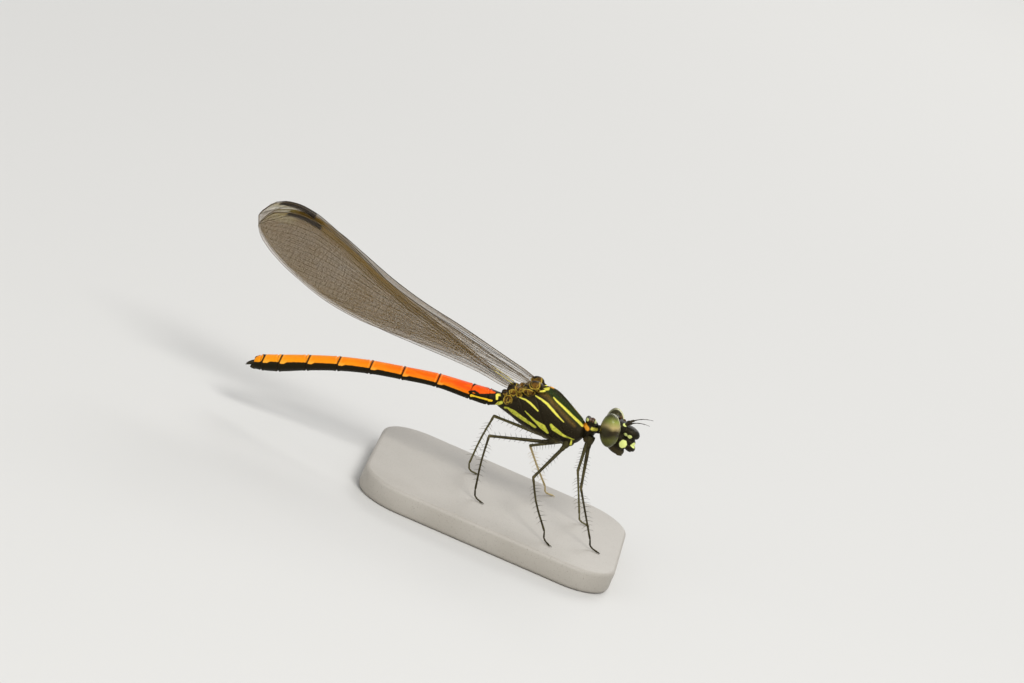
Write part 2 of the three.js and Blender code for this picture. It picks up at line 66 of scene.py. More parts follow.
# Thorax: x, height of the back, height of the belly, half width
THORAX = [
    (0.35, 8.35, 7.75, 0.55),
    (0.1, 8.85, 7.25, 0.92),
    (-0.5, 9.25, 6.8, 1.18),
    (-1.3, 9.66, 6.58, 1.38),
    (-2.2, 10.12, 6.42, 1.5),
    (-3.2, 10.55, 6.38, 1.55),
    (-4.2, 10.6, 6.45, 1.52),
    (-5.2, 10.3, 6.66, 1.4),
    (-6.1, 9.72, 6.95, 1.22),
    (-6.9, 9.0, 7.15, 0.98),
    (-7.5, 8.5, 7.3, 0.74),
]
THORAX_CENTRE = 0.46  # share of the height where it is widest
ROOF_SLOPE = 0.2  # how far the back slopes like a roof
THORAX_RINGS, THORAX_SIDES = 60, 72
# The ridge along the middle of the back: where it starts and ends, its height and its radii
KEEL = {"span": (-0.3, -4.2), "lift": 0.02, "radii": [0.05] + [0.09] * 10 + [0.05]}
# Sutures, as x and share of the height
SUTURES = [
    [(-0.5, 0.3), (-1.9, 0.55), (-3.6, 0.86)],
    [(-1.3, 0.12), (-3.4, 0.45), (-5.4, 0.84)],
    [(-2.6, 0.06), (-4.8, 0.36), (-6.6, 0.8)],
]
# Wing hinges: centre and half sizes
HINGES = {
    "fore": ((-5.15, 0.86, 10.42), (0.62, 0.42, 0.46)),
    "hind": ((-6.72, 0.5, 9.22), (0.6, 0.38, 0.44)),
    "rear": ((-7.05, 0.52, 8.2), (0.42, 0.4, 0.46)),
}
HINGE_LEAN = -12
# Plates over the middle of the back: centre, half sizes and lean
BACK_PLATES = [
    ((-5.3, 0, 10.05), (0.9, 0.85, 0.5), -30),
    ((-6.6, 0, 9.0), (0.75, 0.7, 0.45), -38),
]
# Small knuckles between the hinges and the side: centre and size
KNUCKLES = [
    ((-4.5, 0.82, 10.2), 0.3),
    ((-5.55, 1.12, 9.85), 0.34),
    ((-6.15, 0.92, 9.55), 0.28),
    ((-6.35, 0.98, 8.75), 0.3),
    ((-7.0, 0.78, 8.75), 0.24),
    ((-7.35, 0.4, 8.55), 0.24),
]
KNUCKLE_LEAN = -25
# The hip that carries a middle or hind leg: its centre from the leg's root, and its half sizes
HIP = ((0.1, 0, 0.35), (0.5, 0.36, 0.5))
NECK = {"start": (0.62, 0, 8.66), "end": (2.0, 0, 9.2), "radius": 0.36}
PRONOTUM = (0.62, 8.66)  # x and height of its middle
# The ring, its collar and its lobe behind: centre from that middle, half sizes and lean
PRONOTUM_FORMS = [
    ((-0.1, 0, -0.1), (0.62, 0.86, 0.84), 0),
    ((0.2, 0, 0.42), (0.3, 0.72, 0.34), -20),
    ((-0.5, 0, 0.68), (0.24, 0.78, 0.3), -14),
]
# The same for a boss on its back and a hip under it, on each side
PRONOTUM_SIDES = [
    ((-0.15, 0.36, 0.62), (0.34, 0.34, 0.3), 0),
    ((0.1, 0.5, -0.75), (0.42, 0.34, 0.42), 0),
]

# Wings: root, tip, where the dark spot starts and ends as shares of the length, and the distance of
# both edges from the line between root and tip
WINGS = {
    "fore": {
        "root": (-5.35, 0.98, 10.42),
        "tip": (-32.2, 0.62, 13.75),
        "spot": (0.825, 0.935),
        "front": [(0, 0.14), (0.04, 0.3), (0.11, 0.44), (0.3, 0.84), (0.42, 0.98), (0.54, 1.36),
                  (0.67, 2.06), (0.76, 2.54), (0.84, 2.7), (0.9, 2.5), (0.95, 1.95), (0.985, 1.1),
                  (1, 0.1)],
        "rear": [(0, -0.14), (0.04, -0.3), (0.1, -0.46), (0.2, -0.82), (0.32, -1.5), (0.45, -2.25),
                 (0.6, -2.85), (0.7, -2.85), (0.8, -2.45), (0.88, -1.95), (0.94, -1.35), (0.98, -0.7),
                 (1, -0.1)],
    },
    "hind": {
        "root": (-6.95, 0.42, 9.28),
        "tip": (-32.5, 0.22, 14.45),
        "spot": (0.845, 0.96),
        "front": [(0, 0.4), (0.04, 0.42), (0.11, 0.46), (0.3, 0.86), (0.42, 1.02), (0.52, 1.36),
                  (0.64, 2.0), (0.77, 2.58), (0.86, 2.76), (0.92, 2.5), (0.96, 1.95), (0.985, 1.2),
                  (1, 0.1)],
        "rear": [(0, -0.14), (0.04, -0.3), (0.1, -0.42), (0.22, -0.95), (0.34, -1.62), (0.47, -2.3),
                 (0.6, -2.74), (0.72, -2.78), (0.82, -2.44), (0.9, -1.92), (0.95, -1.35), (0.985, -0.7),
                 (1, -0.1)],
    },
}
# Main veins: (share of the length, share of the chord from the front edge) places, and radius
VEINS = {
    "subcosta": ([(0, 0.22), (0.06, 0.16), (0.2, 0.1), (0.34, 0.05), (0.38, 0.0)], 0.026),
    "radius": ([(0, 0.4), (0.06, 0.3), (0.2, 0.22), (0.4, 0.14), (0.6, 0.1), (0.84, 0.085), (0.94, 0.12),
                (1, 0.5)], 0.034),
    "radial_1": ([(0.13, 0.33), (0.25, 0.29), (0.45, 0.2), (0.65, 0.17), (0.85, 0.2), (0.94, 0.3),
                  (1, 0.55)], 0.02),
    "inter_1": ([(0.56, 0.22), (0.7, 0.26), (0.85, 0.36), (0.95, 0.56), (0.995, 0.75)], 0.014),
    "radial_2": ([(0.4, 0.23), (0.55, 0.31), (0.72, 0.42), (0.86, 0.6), (0.965, 0.88), (0.985, 1.0)], 0.014),
    "inter_2": ([(0.22, 0.34), (0.4, 0.38), (0.6, 0.48), (0.78, 0.68), (0.9, 0.9), (0.93, 1.0)], 0.014),
    "radial_3": ([(0.2, 0.4), (0.35, 0.46), (0.55, 0.6), (0.74, 0.82), (0.84, 1.0)], 0.014),
    "media": ([(0.02, 0.5), (0.1, 0.5), (0.25, 0.56), (0.45, 0.72), (0.62, 0.9), (0.7, 1.0)], 0.02),
    "cubitus": ([(0, 0.72), (0.08, 0.7), (0.2, 0.72), (0.35, 0.86), (0.48, 1.0)], 0.02),
}
SPOT_DEPTH = 0.085  # share of the chord that the dark spot covers
SPOT_HALF = 0.035
PLEATS = {"depth": 0.07, "across": 7.5, "lost at tip": 0.6, "fade": 1.5}
CAMBER = 0.14  # how far the middle of the chord bulges outwards
MEMBRANE_ROWS, MEMBRANE_COLUMNS = 150, 30
ROW_CROWDING = 1.3  # above 1 the rows stand closer towards the tip
EDGE_SPAN = (0.004, 0.998)  # the share of the length that the veins along both edges cover
CELL_SPAN = (0.09, 0.985)  # the share of the length that has cells
CELL_VEIN = 0.0065  # radius of the veins round a cell
BAR_SIDES = 4

# Abdomen: joints between segments, as x, height, half height and half width
ABDOMEN = [
    (-7.4, 7.92, 0.55, 0.62),
    (-8.45, 7.66, 0.74, 0.76),
    (-10.0, 7.47, 0.72, 0.74),
    (-13.0, 7.18, 0.62, 0.7),
    (-16.0, 6.54, 0.6, 0.7),
    (-18.72, 5.88, 0.61, 0.72),
    (-21.4, 5.0, 0.65, 0.75),
    (-23.85, 3.98, 0.7, 0.8),
    (-26.05, 2.96, 0.75, 0.84),
    (-27.42, 2.4, 0.68, 0.76),
    (-28.02, 2.13, 0.53, 0.56),
]

ABDOMEN_RINGS, ABDOMEN_SIDES = 220, 48
UNDERSIDE = 0.9  # the underside is flatter than the back by this share
# The raised rims and the groove at a joint: height, place behind or before it, and width
JOINT_RELIEF = ((0.045, 0.11, 0.09), (0.02, -0.16, 0.1), (-0.075, -0.02, 0.05))
JOINT_RINGS = (-0.14, -0.09, -0.05, 0, 0.05, 0.09, 0.14)  # more rings round each joint
TAIL_ROUNDING, TAIL_END = 0.16, 0.72  # over what length the tail narrows, and to what share of its girth
# How far down the orange reaches at its front and at its rear, as the cosine of the turn from the back
SADDLE = (-0.08, 0.46)
# Claspers: places backwards, outwards and up from their start, with the radius at each
CLASPER = ((0, 0, 0, 0.15), (0.2, 0.05, -0.06, 0.13), (0.42, 0.06, -0.2, 0.11), (0.6, -0.01, -0.34, 0.08),
           (0.76, -0.07, -0.48, 0.03))
LOWER_CLASPER = ((0, 0, 0, 0.24), (0.2, 0.02, -0.1, 0.24), (0.36, 0.02, -0.18, 0.17), (0.48, 0, -0.25, 0.06))

HEAD = Vector((2.25, 0, 9.5))
# Turned a little to the right and tilted to the left
HEAD_TURN = Matrix.Rotation(math.radians(-5), 3, "X") @ Matrix.Rotation(math.radians(-4), 3, "Z")
EYE_LEAN = -15
EYE = ((0, 1.68, 0.04), (0.86, 0.95, 1.46))
# Crown, brow, nose, face plate, upper lip, lower lip and cheeks: centre, half sizes and lean
HEAD_FORMS = [
    ((0.05, 0, 0.08), (0.86, 1.5, 1.12), EYE_LEAN),
    ((0.62, 0, 0.42), (0.72, 0.95, 0.62), 10),
    ((1.5, 0, 0.26), (0.98, 0.72, 0.58), 4),
    ((1.78, 0, -0.42), (0.62, 0.74, 0.4), 14),
    ((1.95, 0, -0.82), (0.62, 0.68, 0.42), 24),
    ((0.85, 0, -1.35), (0.95, 0.66, 0.52), 18),
    ((0.55, 0, -0.5), (0.9, 0.92, 0.95), 0),
]
JAW = ((1.22, 0.62, -0.78), (0.62, 0.3, 0.56), 20)
ANTENNA_SOCKET = ((0.9, 0.5, 0.72), (0.26, 0.24, 0.24), 0)
PALP = ([(0.9, 0.34, -1.5), (1.35, 0.42, -1.85), (1.75, 0.3, -1.8)], [0.11, 0.09, 0.05])
# Grooves across the face: middle, how far they run back and down at the sides, half width, width, depth
FACE_GROOVES = [
    ((2.3, 0, -0.12), (0.55, 0), 0.72, 0.07, 0.07),
    ((2.42, 0, -0.62), (0.5, 0), 0.66, 0.06, 0.06),
    ((2.4, 0, -1.2), (0.8, 0), 0.74, 0.08, 0.14),
    ((0.98, 0, 0.78), (0, 0.25), 0.85, 0.07, 0.05),
    ((0.3, 0, 1.3), (0, 0), 0.5, 0.12, 0.05),
]
OCELLI = [((0.72, 0, 1.02), 0.13), ((0.34, 0.32, 1.16), 0.12), ((0.34, -0.32, 1.16), 0.12)]
ANTENNA = {"start": (1.0, 0.56, 0.86), "way": (0.72, 0.42, 0.55), "bend": (0.25, 0, -0.4)}
# The thick joints at an antenna's root: distance along it and radius
ANTENNA_JOINTS = ((0.0, 0.14), (0.22, 0.15), (0.26, 0.1), (0.34, 0.11), (0.62, 0.1), (0.66, 0.05))
THREAD = {"start": 0.62, "length": 1.7, "radius": 0.045, "taper": 0.72, "knot": 0.008}

# Legs: root, knee, heel, toe, and how far the shin bows backwards below the knee
LEGS = {
    "front_right": ((0.95, -0.62, 7.9), (1.84, -2.2, 4.15), (4.3, -3.1, 0.55), (5.3, -3.3, -0.16), 0.0),
    "front_left": ((0.75, 0.62, 7.86), (1.12, 2.05, 4.2), (2.75, 2.6, 0.55), (3.75, 2.85, -0.16), 0.0),
    "middle_right": ((-0.75, -0.7, 6.8), (-2.25, -3.2, 3.6), (0.4, -6.3, 0.55), (1.2, -7.0, -0.16), 0.22),
    "middle_left": ((-0.85, 0.7, 6.75), (-3.5, 3.35, 4.2), (-0.85, 6.2, 0.55), (0.05, 6.95, -0.16), 0.05),
    "hind_right": ((-1.95, -0.62, 6.5), (-7.09, -2.05, 5.1), (-6.35, -3.1, 0.55), (-5.45, -3.45, -0.16), 0.1),
    "hind_left": ((-2.1, 0.62, 6.45), (-7.38, 2.1, 5.7), (-7.7, 3.4, 0.55), (-6.8, 3.75, -0.16), 0.1),
}
# Shares of the way along a limb, with the girth there in shares of its radius
FEMUR = ((0.07, 0.9), (0.12, 1.15), (0.3, 1.12), (0.5, 1.0), (0.7, 0.9), (0.88, 0.84), (0.95, 0.95),
         (0.99, 0.98), (1.015, 0.55))
TIBIA = ((-0.02, 0.6), (0.02, 1.15), (0.06, 1.2), (0.12, 1.0), (0.25, 0.95), (0.45, 0.9), (0.65, 0.88),
         (0.85, 0.9), (0.97, 1.0), (1.0, 0.6))
# The same along a joint of the foot, with the radius there
TARSUS = ((-0.02, 0.05), (0.1, 0.07), (0.6, 0.075), (0.92, 0.085), (1.02, 0.05))
# A claw: places forwards, sideways and up, with the radius at each
CLAW = ((0, 0.03, 0, 0.04), (0.1, 0.09, 0.02, 0.035), (0.2, 0.13, -0.02, 0.022), (0.26, 0.14, -0.07, 0.006))
BRISTLE_RADII = [0.02, 0.012, 0.003]
HAIR_RADII = [0.008, 0.006, 0.002]
HAIRS_TRIED = 900  # places on the thorax where a hair may stand
BARE_BACK = (70, -4.4)  # no hairs nearer the middle of the back than this angle and behind this x

# Lamps: place from the middle of the view and size in metres, and power in watts
LAMPS = {
    "key": ((0.16, -0.3, 0.42), 0.22, 2.0),
    "fill": ((-0.4, -0.35, 0.2), 0.35, 0.5),
    "rim": ((0.1, 0.42, 0.3), 0.25, 0.9),
}
SKY = ((0.96, 0.97, 1, 1), 0.55)  # colour and strength of the light from all round
VIEW_MIDDLE = (-8.5, 0, 12.97)
FLOOR_HALF = 1.5  # metres
BASE_CORNER = 4.0
BASE_FOOT = ((0.35, 0), (0.1, 0.1), (0, 0.35))  # inset and height over the underside
BASE_RIM = ((0, 0.35), (0.027, 0.216), (0.1, 0.1), (0.216, 0.027), (0.35, 0))  # inset and depth under the top
CORNER_STEPS = 12


# Settings that a user may change


class StageSettings(bpy.types.PropertyGroup):
    """The camera and the floor"""

    elevation: bpy.props.FloatProperty(
        name="Camera elevation", description="Height of the view above the level",
        default=math.radians(15), subtype="ANGLE")
    roll: bpy.props.FloatProperty(
        name="Camera roll", description="Turn of the camera about its own view",
        default=math.radians(23.5), subtype="ANGLE")
    distance: bpy.props.FloatProperty(
        name="Distance", description="From the lens to the animal", default=0.4, unit="LENGTH")
    width: bpy.props.FloatProperty(
        name="View width", description="Width of the picture at the animal", default=0.08704, unit="LENGTH")
    floor: bpy.props.FloatVectorProperty(
        name="Floor", description="Colour of the floor", default=(0.62, 0.61, 0.58), subtype="COLOR")


class BodySettings(bpy.types.PropertyGroup):
    """Colours of the hard parts"""

    black: bpy.props.FloatVectorProperty(
        name="Black", description="Ground colour of head and thorax",
        default=(0.005, 0.0042, 0.0018), subtype="COLOR")
    green: bpy.props.FloatVectorProperty(
        name="Green", description="Metallic green of the back", default=(0.012, 0.036, 0.01), subtype="COLOR")
    lemon: bpy.props.FloatVectorProperty(
        name="Lemon", description="Stripes on the thorax", default=(0.85, 0.76, 0.11), subtype="COLOR")
    lime: bpy.props.FloatVectorProperty(
        name="Lime", description="Patches low on the thorax", default=(0.5, 0.54, 0.05), subtype="COLOR")
    cream: bpy.props.FloatVectorProperty(
        name="Cream", description="Spots on the face", default=(0.74, 0.8, 0.26), subtype="COLOR")
    brown: bpy.props.FloatVectorProperty(
        name="Brown", description="Plates at the wing hinges", default=(0.17, 0.075, 0.008), subtype="COLOR")
    orange: bpy.props.FloatVectorProperty(
        name="Orange", description="Back of the abdomen", default=(0.86, 0.16, 0.002), subtype="COLOR")
    red: bpy.props.FloatVectorProperty(
        name="Red", description="Back of the abdomen near the thorax",
        default=(0.86, 0.075, 0.003), subtype="COLOR")
    amber: bpy.props.FloatVectorProperty(
        name="Amber", description="Flanks of the abdomen and its edges",
        default=(0.9, 0.33, 0.006), subtype="COLOR")


class WingSettings(bpy.types.PropertyGroup):
    """Membrane and veins of the wings"""

    tint: bpy.props.FloatVectorProperty(
        name="Tint", description="Colour of the membrane", default=(0.15, 0.085, 0.01), subtype="COLOR")
    vein: bpy.props.FloatVectorProperty(
        name="Vein", description="Colour of the veins", default=(0.045, 0.03, 0.01), subtype="COLOR")
    opacity: bpy.props.FloatProperty(
        name="Opacity", description="How much light one face of the membrane stops",
        default=0.21, min=0, max=1, subtype="FACTOR")
    cell: bpy.props.FloatProperty(
        name="Cell", description="Size of a cell between the veins", default=0.00042, unit="LENGTH")
    thickness: bpy.props.FloatProperty(
        name="Thickness", description="Thickness of the membrane", default=0.00002, unit="LENGTH")


class LegSettings(bpy.types.PropertyGroup):
    """Sizes of the legs"""

    femur: bpy.props.FloatProperty(
        name="Femur", description="Radius of the femur", default=0.00014, unit="LENGTH")
    tibia: bpy.props.FloatProperty(
        name="Tibia", description="Radius of the tibia", default=0.000095, unit="LENGTH")
    bristle: bpy.props.FloatProperty(
        name="Bristle", description="Length of a bristle", default=0.0005, unit="LENGTH")


# Numbers along a line


def along(pairs, t):
    """Value at t of a smooth line through (place, value) pairs; t may be an array."""
    places = np.array([p[0] for p in pairs], float)
    values = np.array([p[1] for p in pairs], float)
    slopes = np.gradient(values, places)
    t = np.clip(np.asarray(t, float), places[0], places[-1])
    i = np.clip(np.searchsorted(places, t) - 1, 0, len(places) - 2)
    span = places[i + 1] - places[i]
    u = (t - places[i]) / span
    return ((2 * u**3 - 3 * u**2 + 1) * values[i] + (u**3 - 2 * u**2 + u) * slopes[i] * span
            + (3 * u**2 - 2 * u**3) * values[i + 1] + (u**3 - u**2) * slopes[i + 1] * span)


def smooth(t):
    """0 below 0, 1 above 1, and a soft rise between."""
    t = min(max(t, 0.0), 1.0)
    return t * t * (3 - 2 * t)


def between(a, b, t):
    return Vector(a).lerp(Vector(b), t)


def mirrored(point, side):
    """A place given for the left side, on either side."""
    return (point[0], side * point[1], point[2])


def profile(stations, i):
    """One size of some stations along the body, as pairs for along."""
    return [(-station[0], station[i]) for station in stations]


# Shapes


class Shape:
    """Points and faces in millimetres, gathered form by form, with a note or two on each point."""

    def __init__(self):
        self.points = []
        self.faces = []
        self.slots = []
        self.notes = {}

    def add(self, points, faces, slot=0):
        start = len(self.points)
        self.points += [tuple(p) for p in points]
        self.faces += [tuple(start + i for i in face) for face in faces]
        self.slots += [slot] * len(faces)
        return self

    def loft(self, rings, slot=0):
        """A closed body through rings of points that run the same way round."""
        n = len(rings[0])
        points = [Vector(p) for ring in rings for p in ring]
        faces = []
        for r in range(len(rings) - 1):
            for i in range(n):
                j = (i + 1) % n
                faces.append((r * n + i, r * n + j, (r + 1) * n + j, (r + 1) * n + i))
        for ring, flip in ((0, True), (len(rings) - 1, False)):
            centre = sum(points[ring * n:(ring + 1) * n], Vector()) / n
            points.append(centre)
            hub = len(points) - 1
            for i in range(n):
                a, b = ring * n + i, ring * n + (i + 1) % n
                faces.append((hub, b, a) if flip else (hub, a, b))
        return self.add(points, faces, slot)

    def tube(self, path, radii, sides=10, slot=0):
        """A round bar through points, with a radius at each."""
        path = [Vector(p) for p in path]
        rings = []
        across = None
        for i, p in enumerate(path):
            way = (path[min(i + 1, len(path) - 1)] - path[max(i - 1, 0)]).normalized()
            if across is None:
                across = way.orthogonal()
            across = (across - way * across.dot(way)).normalized()
            up = way.cross(across)
            turns = (2 * math.pi * k / sides for k in range(sides))
            rings.append([p + (across * math.cos(a) + up * math.sin(a)) * radii[i] for a in turns])
        return self.loft(rings, slot)

    def egg(self, centre, half, lean=0, around=28, down=18):
        """An ellipsoid with its half sizes, leant about y by some degrees."""
        centre = Vector(centre)
        spin = Matrix.Rotation(math.radians(lean), 3, "Y")
        points = []
        for d in range(1, down):
            tilt = math.pi * d / down
            for k in range(around):
                a = 2 * math.pi * k / around
                p = (half[0] * math.sin(tilt) * math.cos(a), half[1] * math.sin(tilt) * math.sin(a),
                     half[2] * math.cos(tilt))
                points.append(centre + spin @ Vector(p))
        points += [centre + spin @ Vector((0, 0, z)) for z in (half[2], -half[2])]
        top, bottom = len(points) - 2, len(points) - 1
        last = (down - 2) * around
        faces = []
        for start in range(0, last, around):
            for i in range(around):
                j = (i + 1) % around
                below = start + around
                faces.append((start + i, below + i, below + j, start + j))
        for i in range(around):
            j = (i + 1) % around
            faces.append((top, i, j))
            faces.append((bottom, last + j, last + i))
        return self.add(points, faces)

    def mesh(self, name):
        mesh = bpy.data.meshes.new(name)
        mesh.from_pydata(self.points, [], self.faces)
        mesh.polygons.foreach_set("material_index", self.slots)
        for note, values in self.notes.items():
            attribute = mesh.attributes.new(note, "FLOAT", "POINT")
            attribute.data.foreach_set("value", values)
        mesh.polygons.foreach_set("use_smooth", [True] * len(mesh.polygons))
        mesh.update()
        return mesh

    def fused(self, grain, rounds):
        """One skin over all that is gathered so far, at a grain in millimetres."""
        carrier = shown("fusing", self.mesh("fusing"))
        remesh = carrier.modifiers.new("remesh", "REMESH")
        remesh.mode = "VOXEL"
        remesh.voxel_size = grain
        relax = carrier.modifiers.new("relax", "SMOOTH")
        relax.factor = 0.5
        relax.iterations = rounds
        bpy.context.view_layer.update()
        whole = carrier.evaluated_get(bpy.context.evaluated_depsgraph_get())
        result = bpy.data.meshes.new_from_object(whole)
        fresh = Shape()
        fresh.add([v.co.copy() for v in result.vertices], [tuple(p.vertices) for p in result.polygons])
        rough = carrier.data
        bpy.data.objects.remove(carrier)
        bpy.data.meshes.remove(rough)
        bpy.data.meshes.remove(result)
        return fresh

    def pressed(self, lines):
        """Each line is pressed in, or raised where its depth is negative: (path, width, depth)."""
        mesh = self.mesh("pressing")
        points = np.array(self.points)
        normals = np.zeros(len(points) * 3)
        mesh.vertices.foreach_get("normal", normals)
        normals = normals.reshape(-1, 3)
        bpy.data.meshes.remove(mesh)
        for path, width, depth in lines:
            near = np.full(len(points), np.inf)
            path = np.array([tuple(p) for p in path])
            for a, b in zip(path, path[1:]):
                way = b - a
                share = np.clip((points - a) @ way / (way @ way), 0, 1)
                near = np.minimum(near, np.linalg.norm(points - a - share[:, None] * way, axis=1))
            points = points - normals * (depth * np.exp(-((near / width) ** 2)))[:, None]
        self.points = [tuple(p) for p in points]
        return self


def shown(name, data):
    """A new object in the scene."""
    made = bpy.data.objects.new(name, data)
    bpy.context.scene.collection.objects.link(made)
    return made


def placed(name, shape, finishes, nodes=(), turn=None):
    """The shape as a piece on the root body, in place of its nodes, at the turn of what carries it."""
    mesh = shape.mesh(name)
    move = Matrix.Translation(ANIMAL)
    if turn is not None:
        move = move @ turn
    mesh.transform(Matrix.Scale(MM, 4) @ move)
    for finish in finishes:
        mesh.materials.append(finish)
    piece = shown(name, mesh)
    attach(piece, "root")
    if nodes:
        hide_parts(*nodes)
    return piece


# Shader maths


class Wire:
    """A shader socket, so that maths on it is written as an expression."""

    def __init__(self, tree, socket=None):
        self.tree = tree
        self.socket = socket

    def node(self, kind, settings=None, sockets=None, out=0):
        """A new node: its settings first, then the values or links of its sockets."""
        made = self.tree.nodes.new("ShaderNode" + kind)
        for key, value in (settings or {}).items():
            if key == "stops":
                ramp = made.color_ramp.elements
                while len(ramp) < len(value):
                    ramp.new(0.5)
                for element, (place, color) in zip(ramp, value):
                    element.position = place
                    element.color = (*color, 1)
            else:
                setattr(made, key, value)
        for key, value in (sockets or {}).items():
            socket = made.inputs[key]
            if isinstance(value, Wire):
                self.tree.links.new(value.socket, socket)
            else:
                socket.default_value = value
        return Wire(self.tree, made.outputs[out] if made.outputs else None)

    def maths(self, operation, first, second=0.0, clamp=False):
        return self.node("Math", {"operation": operation, "use_clamp": clamp}, {0: first, 1: second})

    def __add__(self, other):
        return self.maths("ADD", self, other)

    def __mul__(self, other):
        return self.maths("MULTIPLY", self, other)

    def __or__(self, other):
        return self.maths("MAXIMUM", self, other)

    def __and__(self, other):
        return self.maths("MINIMUM", self, other)

    __radd__, __rmul__, __ror__, __rand__ = __add__, __mul__, __or__, __and__

    def __sub__(self, other):
        return self.maths("SUBTRACT", self, other)

    def __rsub__(self, other):
        return self.maths("SUBTRACT", other, self)

    def __abs__(self):
        return self.maths("ABSOLUTE", self)

    def vector(self, operation, *others, out=0):
        return self.node("VectorMath", {"operation": operation}, dict(enumerate((self, *others))), out)

    def held(self):
        """The value kept between 0 and 1."""
        return self.maths("ADD", self, 0.0, clamp=True)

    def stretched(self, gain, cut):
        """The value times a gain, less a cut, kept between 0 and 1."""
        return (self * gain - cut).held()

    def inside(self, soft):
        """1 where a distance is below 0 and 0 where it is above, with a soft edge of this width."""
        return (self * (-1 / soft) + 0.5).held()

    def ramp(self, start, stop, first=0.0, last=1.0):
        """A straight change from first to last as the value goes from start to stop."""
        return self.node("MapRange", None, {0: self, 1: start, 2: stop, 3: first, 4: last})

    def seen(self, way):
        """How far a point lies along a way."""
        return self.vector("DOT_PRODUCT", tuple(way), out=1)


def sheet(name, origin=(0, 0, 0), turn=None):
    """A new material, and where a point of its surface is, in millimetres in the animal's frame or in one
    inside it with an origin and a turn of its own."""
    material = bpy.data.materials.new(name)
    material.use_nodes = True
    material.node_tree.nodes.clear()
    wire = Wire(material.node_tree)
    return material, wire.node("Mapping", {"vector_type": "TEXTURE"}, {
        "Vector": wire.node("TexCoord", out=3),
        "Location": (ANIMAL + Vector(origin)) * MM,
        "Rotation": (turn or Matrix.Identity(3)).to_euler(),
        "Scale": (MM, MM, MM)})


def note(point, name):
    """A number that the shape notes on each of its points."""
    return point.node("Attribute", {"attribute_name": name}, out=2)


def axes(point):
    """The three numbers of a point."""
    outputs = point.node("SeparateXYZ", None, {0: point}).socket.node.outputs
    return [Wire(point.tree, output) for output in outputs]


def flattened(point):
    """The point with its sideways place taken out, for markings alike on both sides, and its height."""
    x, _, z = axes(point)
    return point.node("CombineXYZ", None, {0: x, 1: 0.0, 2: z}), z


def folded(point):
    """The point brought over to the left side, for markings alike on both sides, and its height."""
    x, y, z = axes(point)
    return point.node("CombineXYZ", None, {0: x, 1: abs(y), 2: z}), z


def flecks(point, scale, detail=3.0, roughness=0.5):
    """Noise with this many flecks a millimetre."""
    return point.node("TexNoise", None, {
        "Vector": point, "Scale": scale, "Detail": detail, "Roughness": roughness})


def wander(point, scale, reach, detail=3.0):
    """Noise about 0, for edges that wander over a reach."""
    return flecks(point, scale, detail) * reach - reach / 2


def blend(mask, first, second):
    """The first colour where the mask is 0, the second where it is 1."""
    a = first if isinstance(first, Wire) else (*first[:3], 1)
    b = second if isinstance(second, Wire) else (*second[:3], 1)
    return mask.node("Mix", {"data_type": "RGBA"}, {0: mask, 6: a, 7: b}, out=2)


def nearest(distances):
    """The least of some distances."""
    least = distances[0]
    for distance in distances[1:]:
        least = least & distance
    return least


def stripe(point, path):
    """Distance from a stripe through (x, y, z, radius) stations, less than nothing inside it."""
    parts = []
    for (ax, ay, az, ra), (bx, by, bz, rb) in zip(path, path[1:]):
        a = Vector((ax, ay, az))
        way = Vector((bx, by, bz)) - a
        arm = point.vector("SUBTRACT", tuple(a))
        share = arm.seen(way / way.length_squared).held()
        foot = share.node("VectorMath", {"operation": "SCALE"}, {0: tuple(way), 3: share})
        parts.append(arm.vector("SUBTRACT", foot).vector("LENGTH", out=1) - (share * (rb - ra) + ra))
    return nearest(parts)


def stripes(side, paths):
    """Distance from the nearest stripe through (x, z, radius) stations, as seen from the side."""
    return nearest([stripe(side, [(x, 0, z, radius) for x, z, radius in path]) for path in paths])


def spot(point, centre, half):
    """Distance from an oval spot, in shares of its size."""
    arm = point.vector("SUBTRACT", tuple(centre))
    return arm.vector("MULTIPLY", tuple(1 / h for h in half)).vector("LENGTH", out=1) - 1.0


def spots(point, places):
    """Distance from the nearest of some oval spots."""
    return nearest([spot(point, centre, half) for centre, half in places])


SHEEN = (1.0, 0.82, 0.5, 1)
CUTICLE = {"Specular IOR Level": 0.22, "Specular Tint": SHEEN, "Coat Weight": 0.02, "Coat Roughness": 0.25}
DULL = {"Specular IOR Level": 0.15, "Specular Tint": SHEEN}
LENS = {"Specular IOR Level": 0.25, "Specular Tint": SHEEN, "Coat Weight": 0.15, "Coat Roughness": 0.1}


def finished(material, color, roughness, bump=None, depth=0.0, more=None):
    """Closes the material with a surface shader. The bump reaches a depth in millimetres, and more holds
    what other sockets get."""
    wire = Wire(material.node_tree)
    sockets = {"Base Color": color, "Roughness": roughness, **(more or {})}
    if bump is not None:
        sockets["Normal"] = wire.node("Bump", None, {"Strength": 1.0, "Distance": depth * MM, "Height": bump})
    wire.node("OutputMaterial", None, {"Surface": wire.node("BsdfPrincipled", None, sockets)})
    return material


# Finishes


# Colours that carry no setting
DUSKY = (0.016, 0.011, 0.004)
OLIVE = (0.03, 0.03, 0.007)
BRONZE = (0.15, 0.085, 0.012)
RIDGE_GOLD = (0.24, 0.15, 0.025)
PITCH = (0.014, 0.009, 0.003)
PLATE_BLACK = (0.02, 0.011, 0.003)
GOLD = (0.6, 0.42, 0.05)
COPPER = (0.8, 0.34, 0.025)
RUST = (0.13, 0.045, 0.012)
BELLY_BROWN = (0.11, 0.09, 0.035)
THROAT_BROWN = (0.08, 0.06, 0.02)
CHIN_BROWN = (0.08, 0.065, 0.025)
SOOT = (0.009, 0.007, 0.003)
HORN_BROWN = (0.07, 0.05, 0.02)
HONEY = (0.95, 0.62, 0.03)
# colour of the painted rim highlight on the eyes
IVORY_HIGHLIGHT = (0.72, 0.7, 0.4)

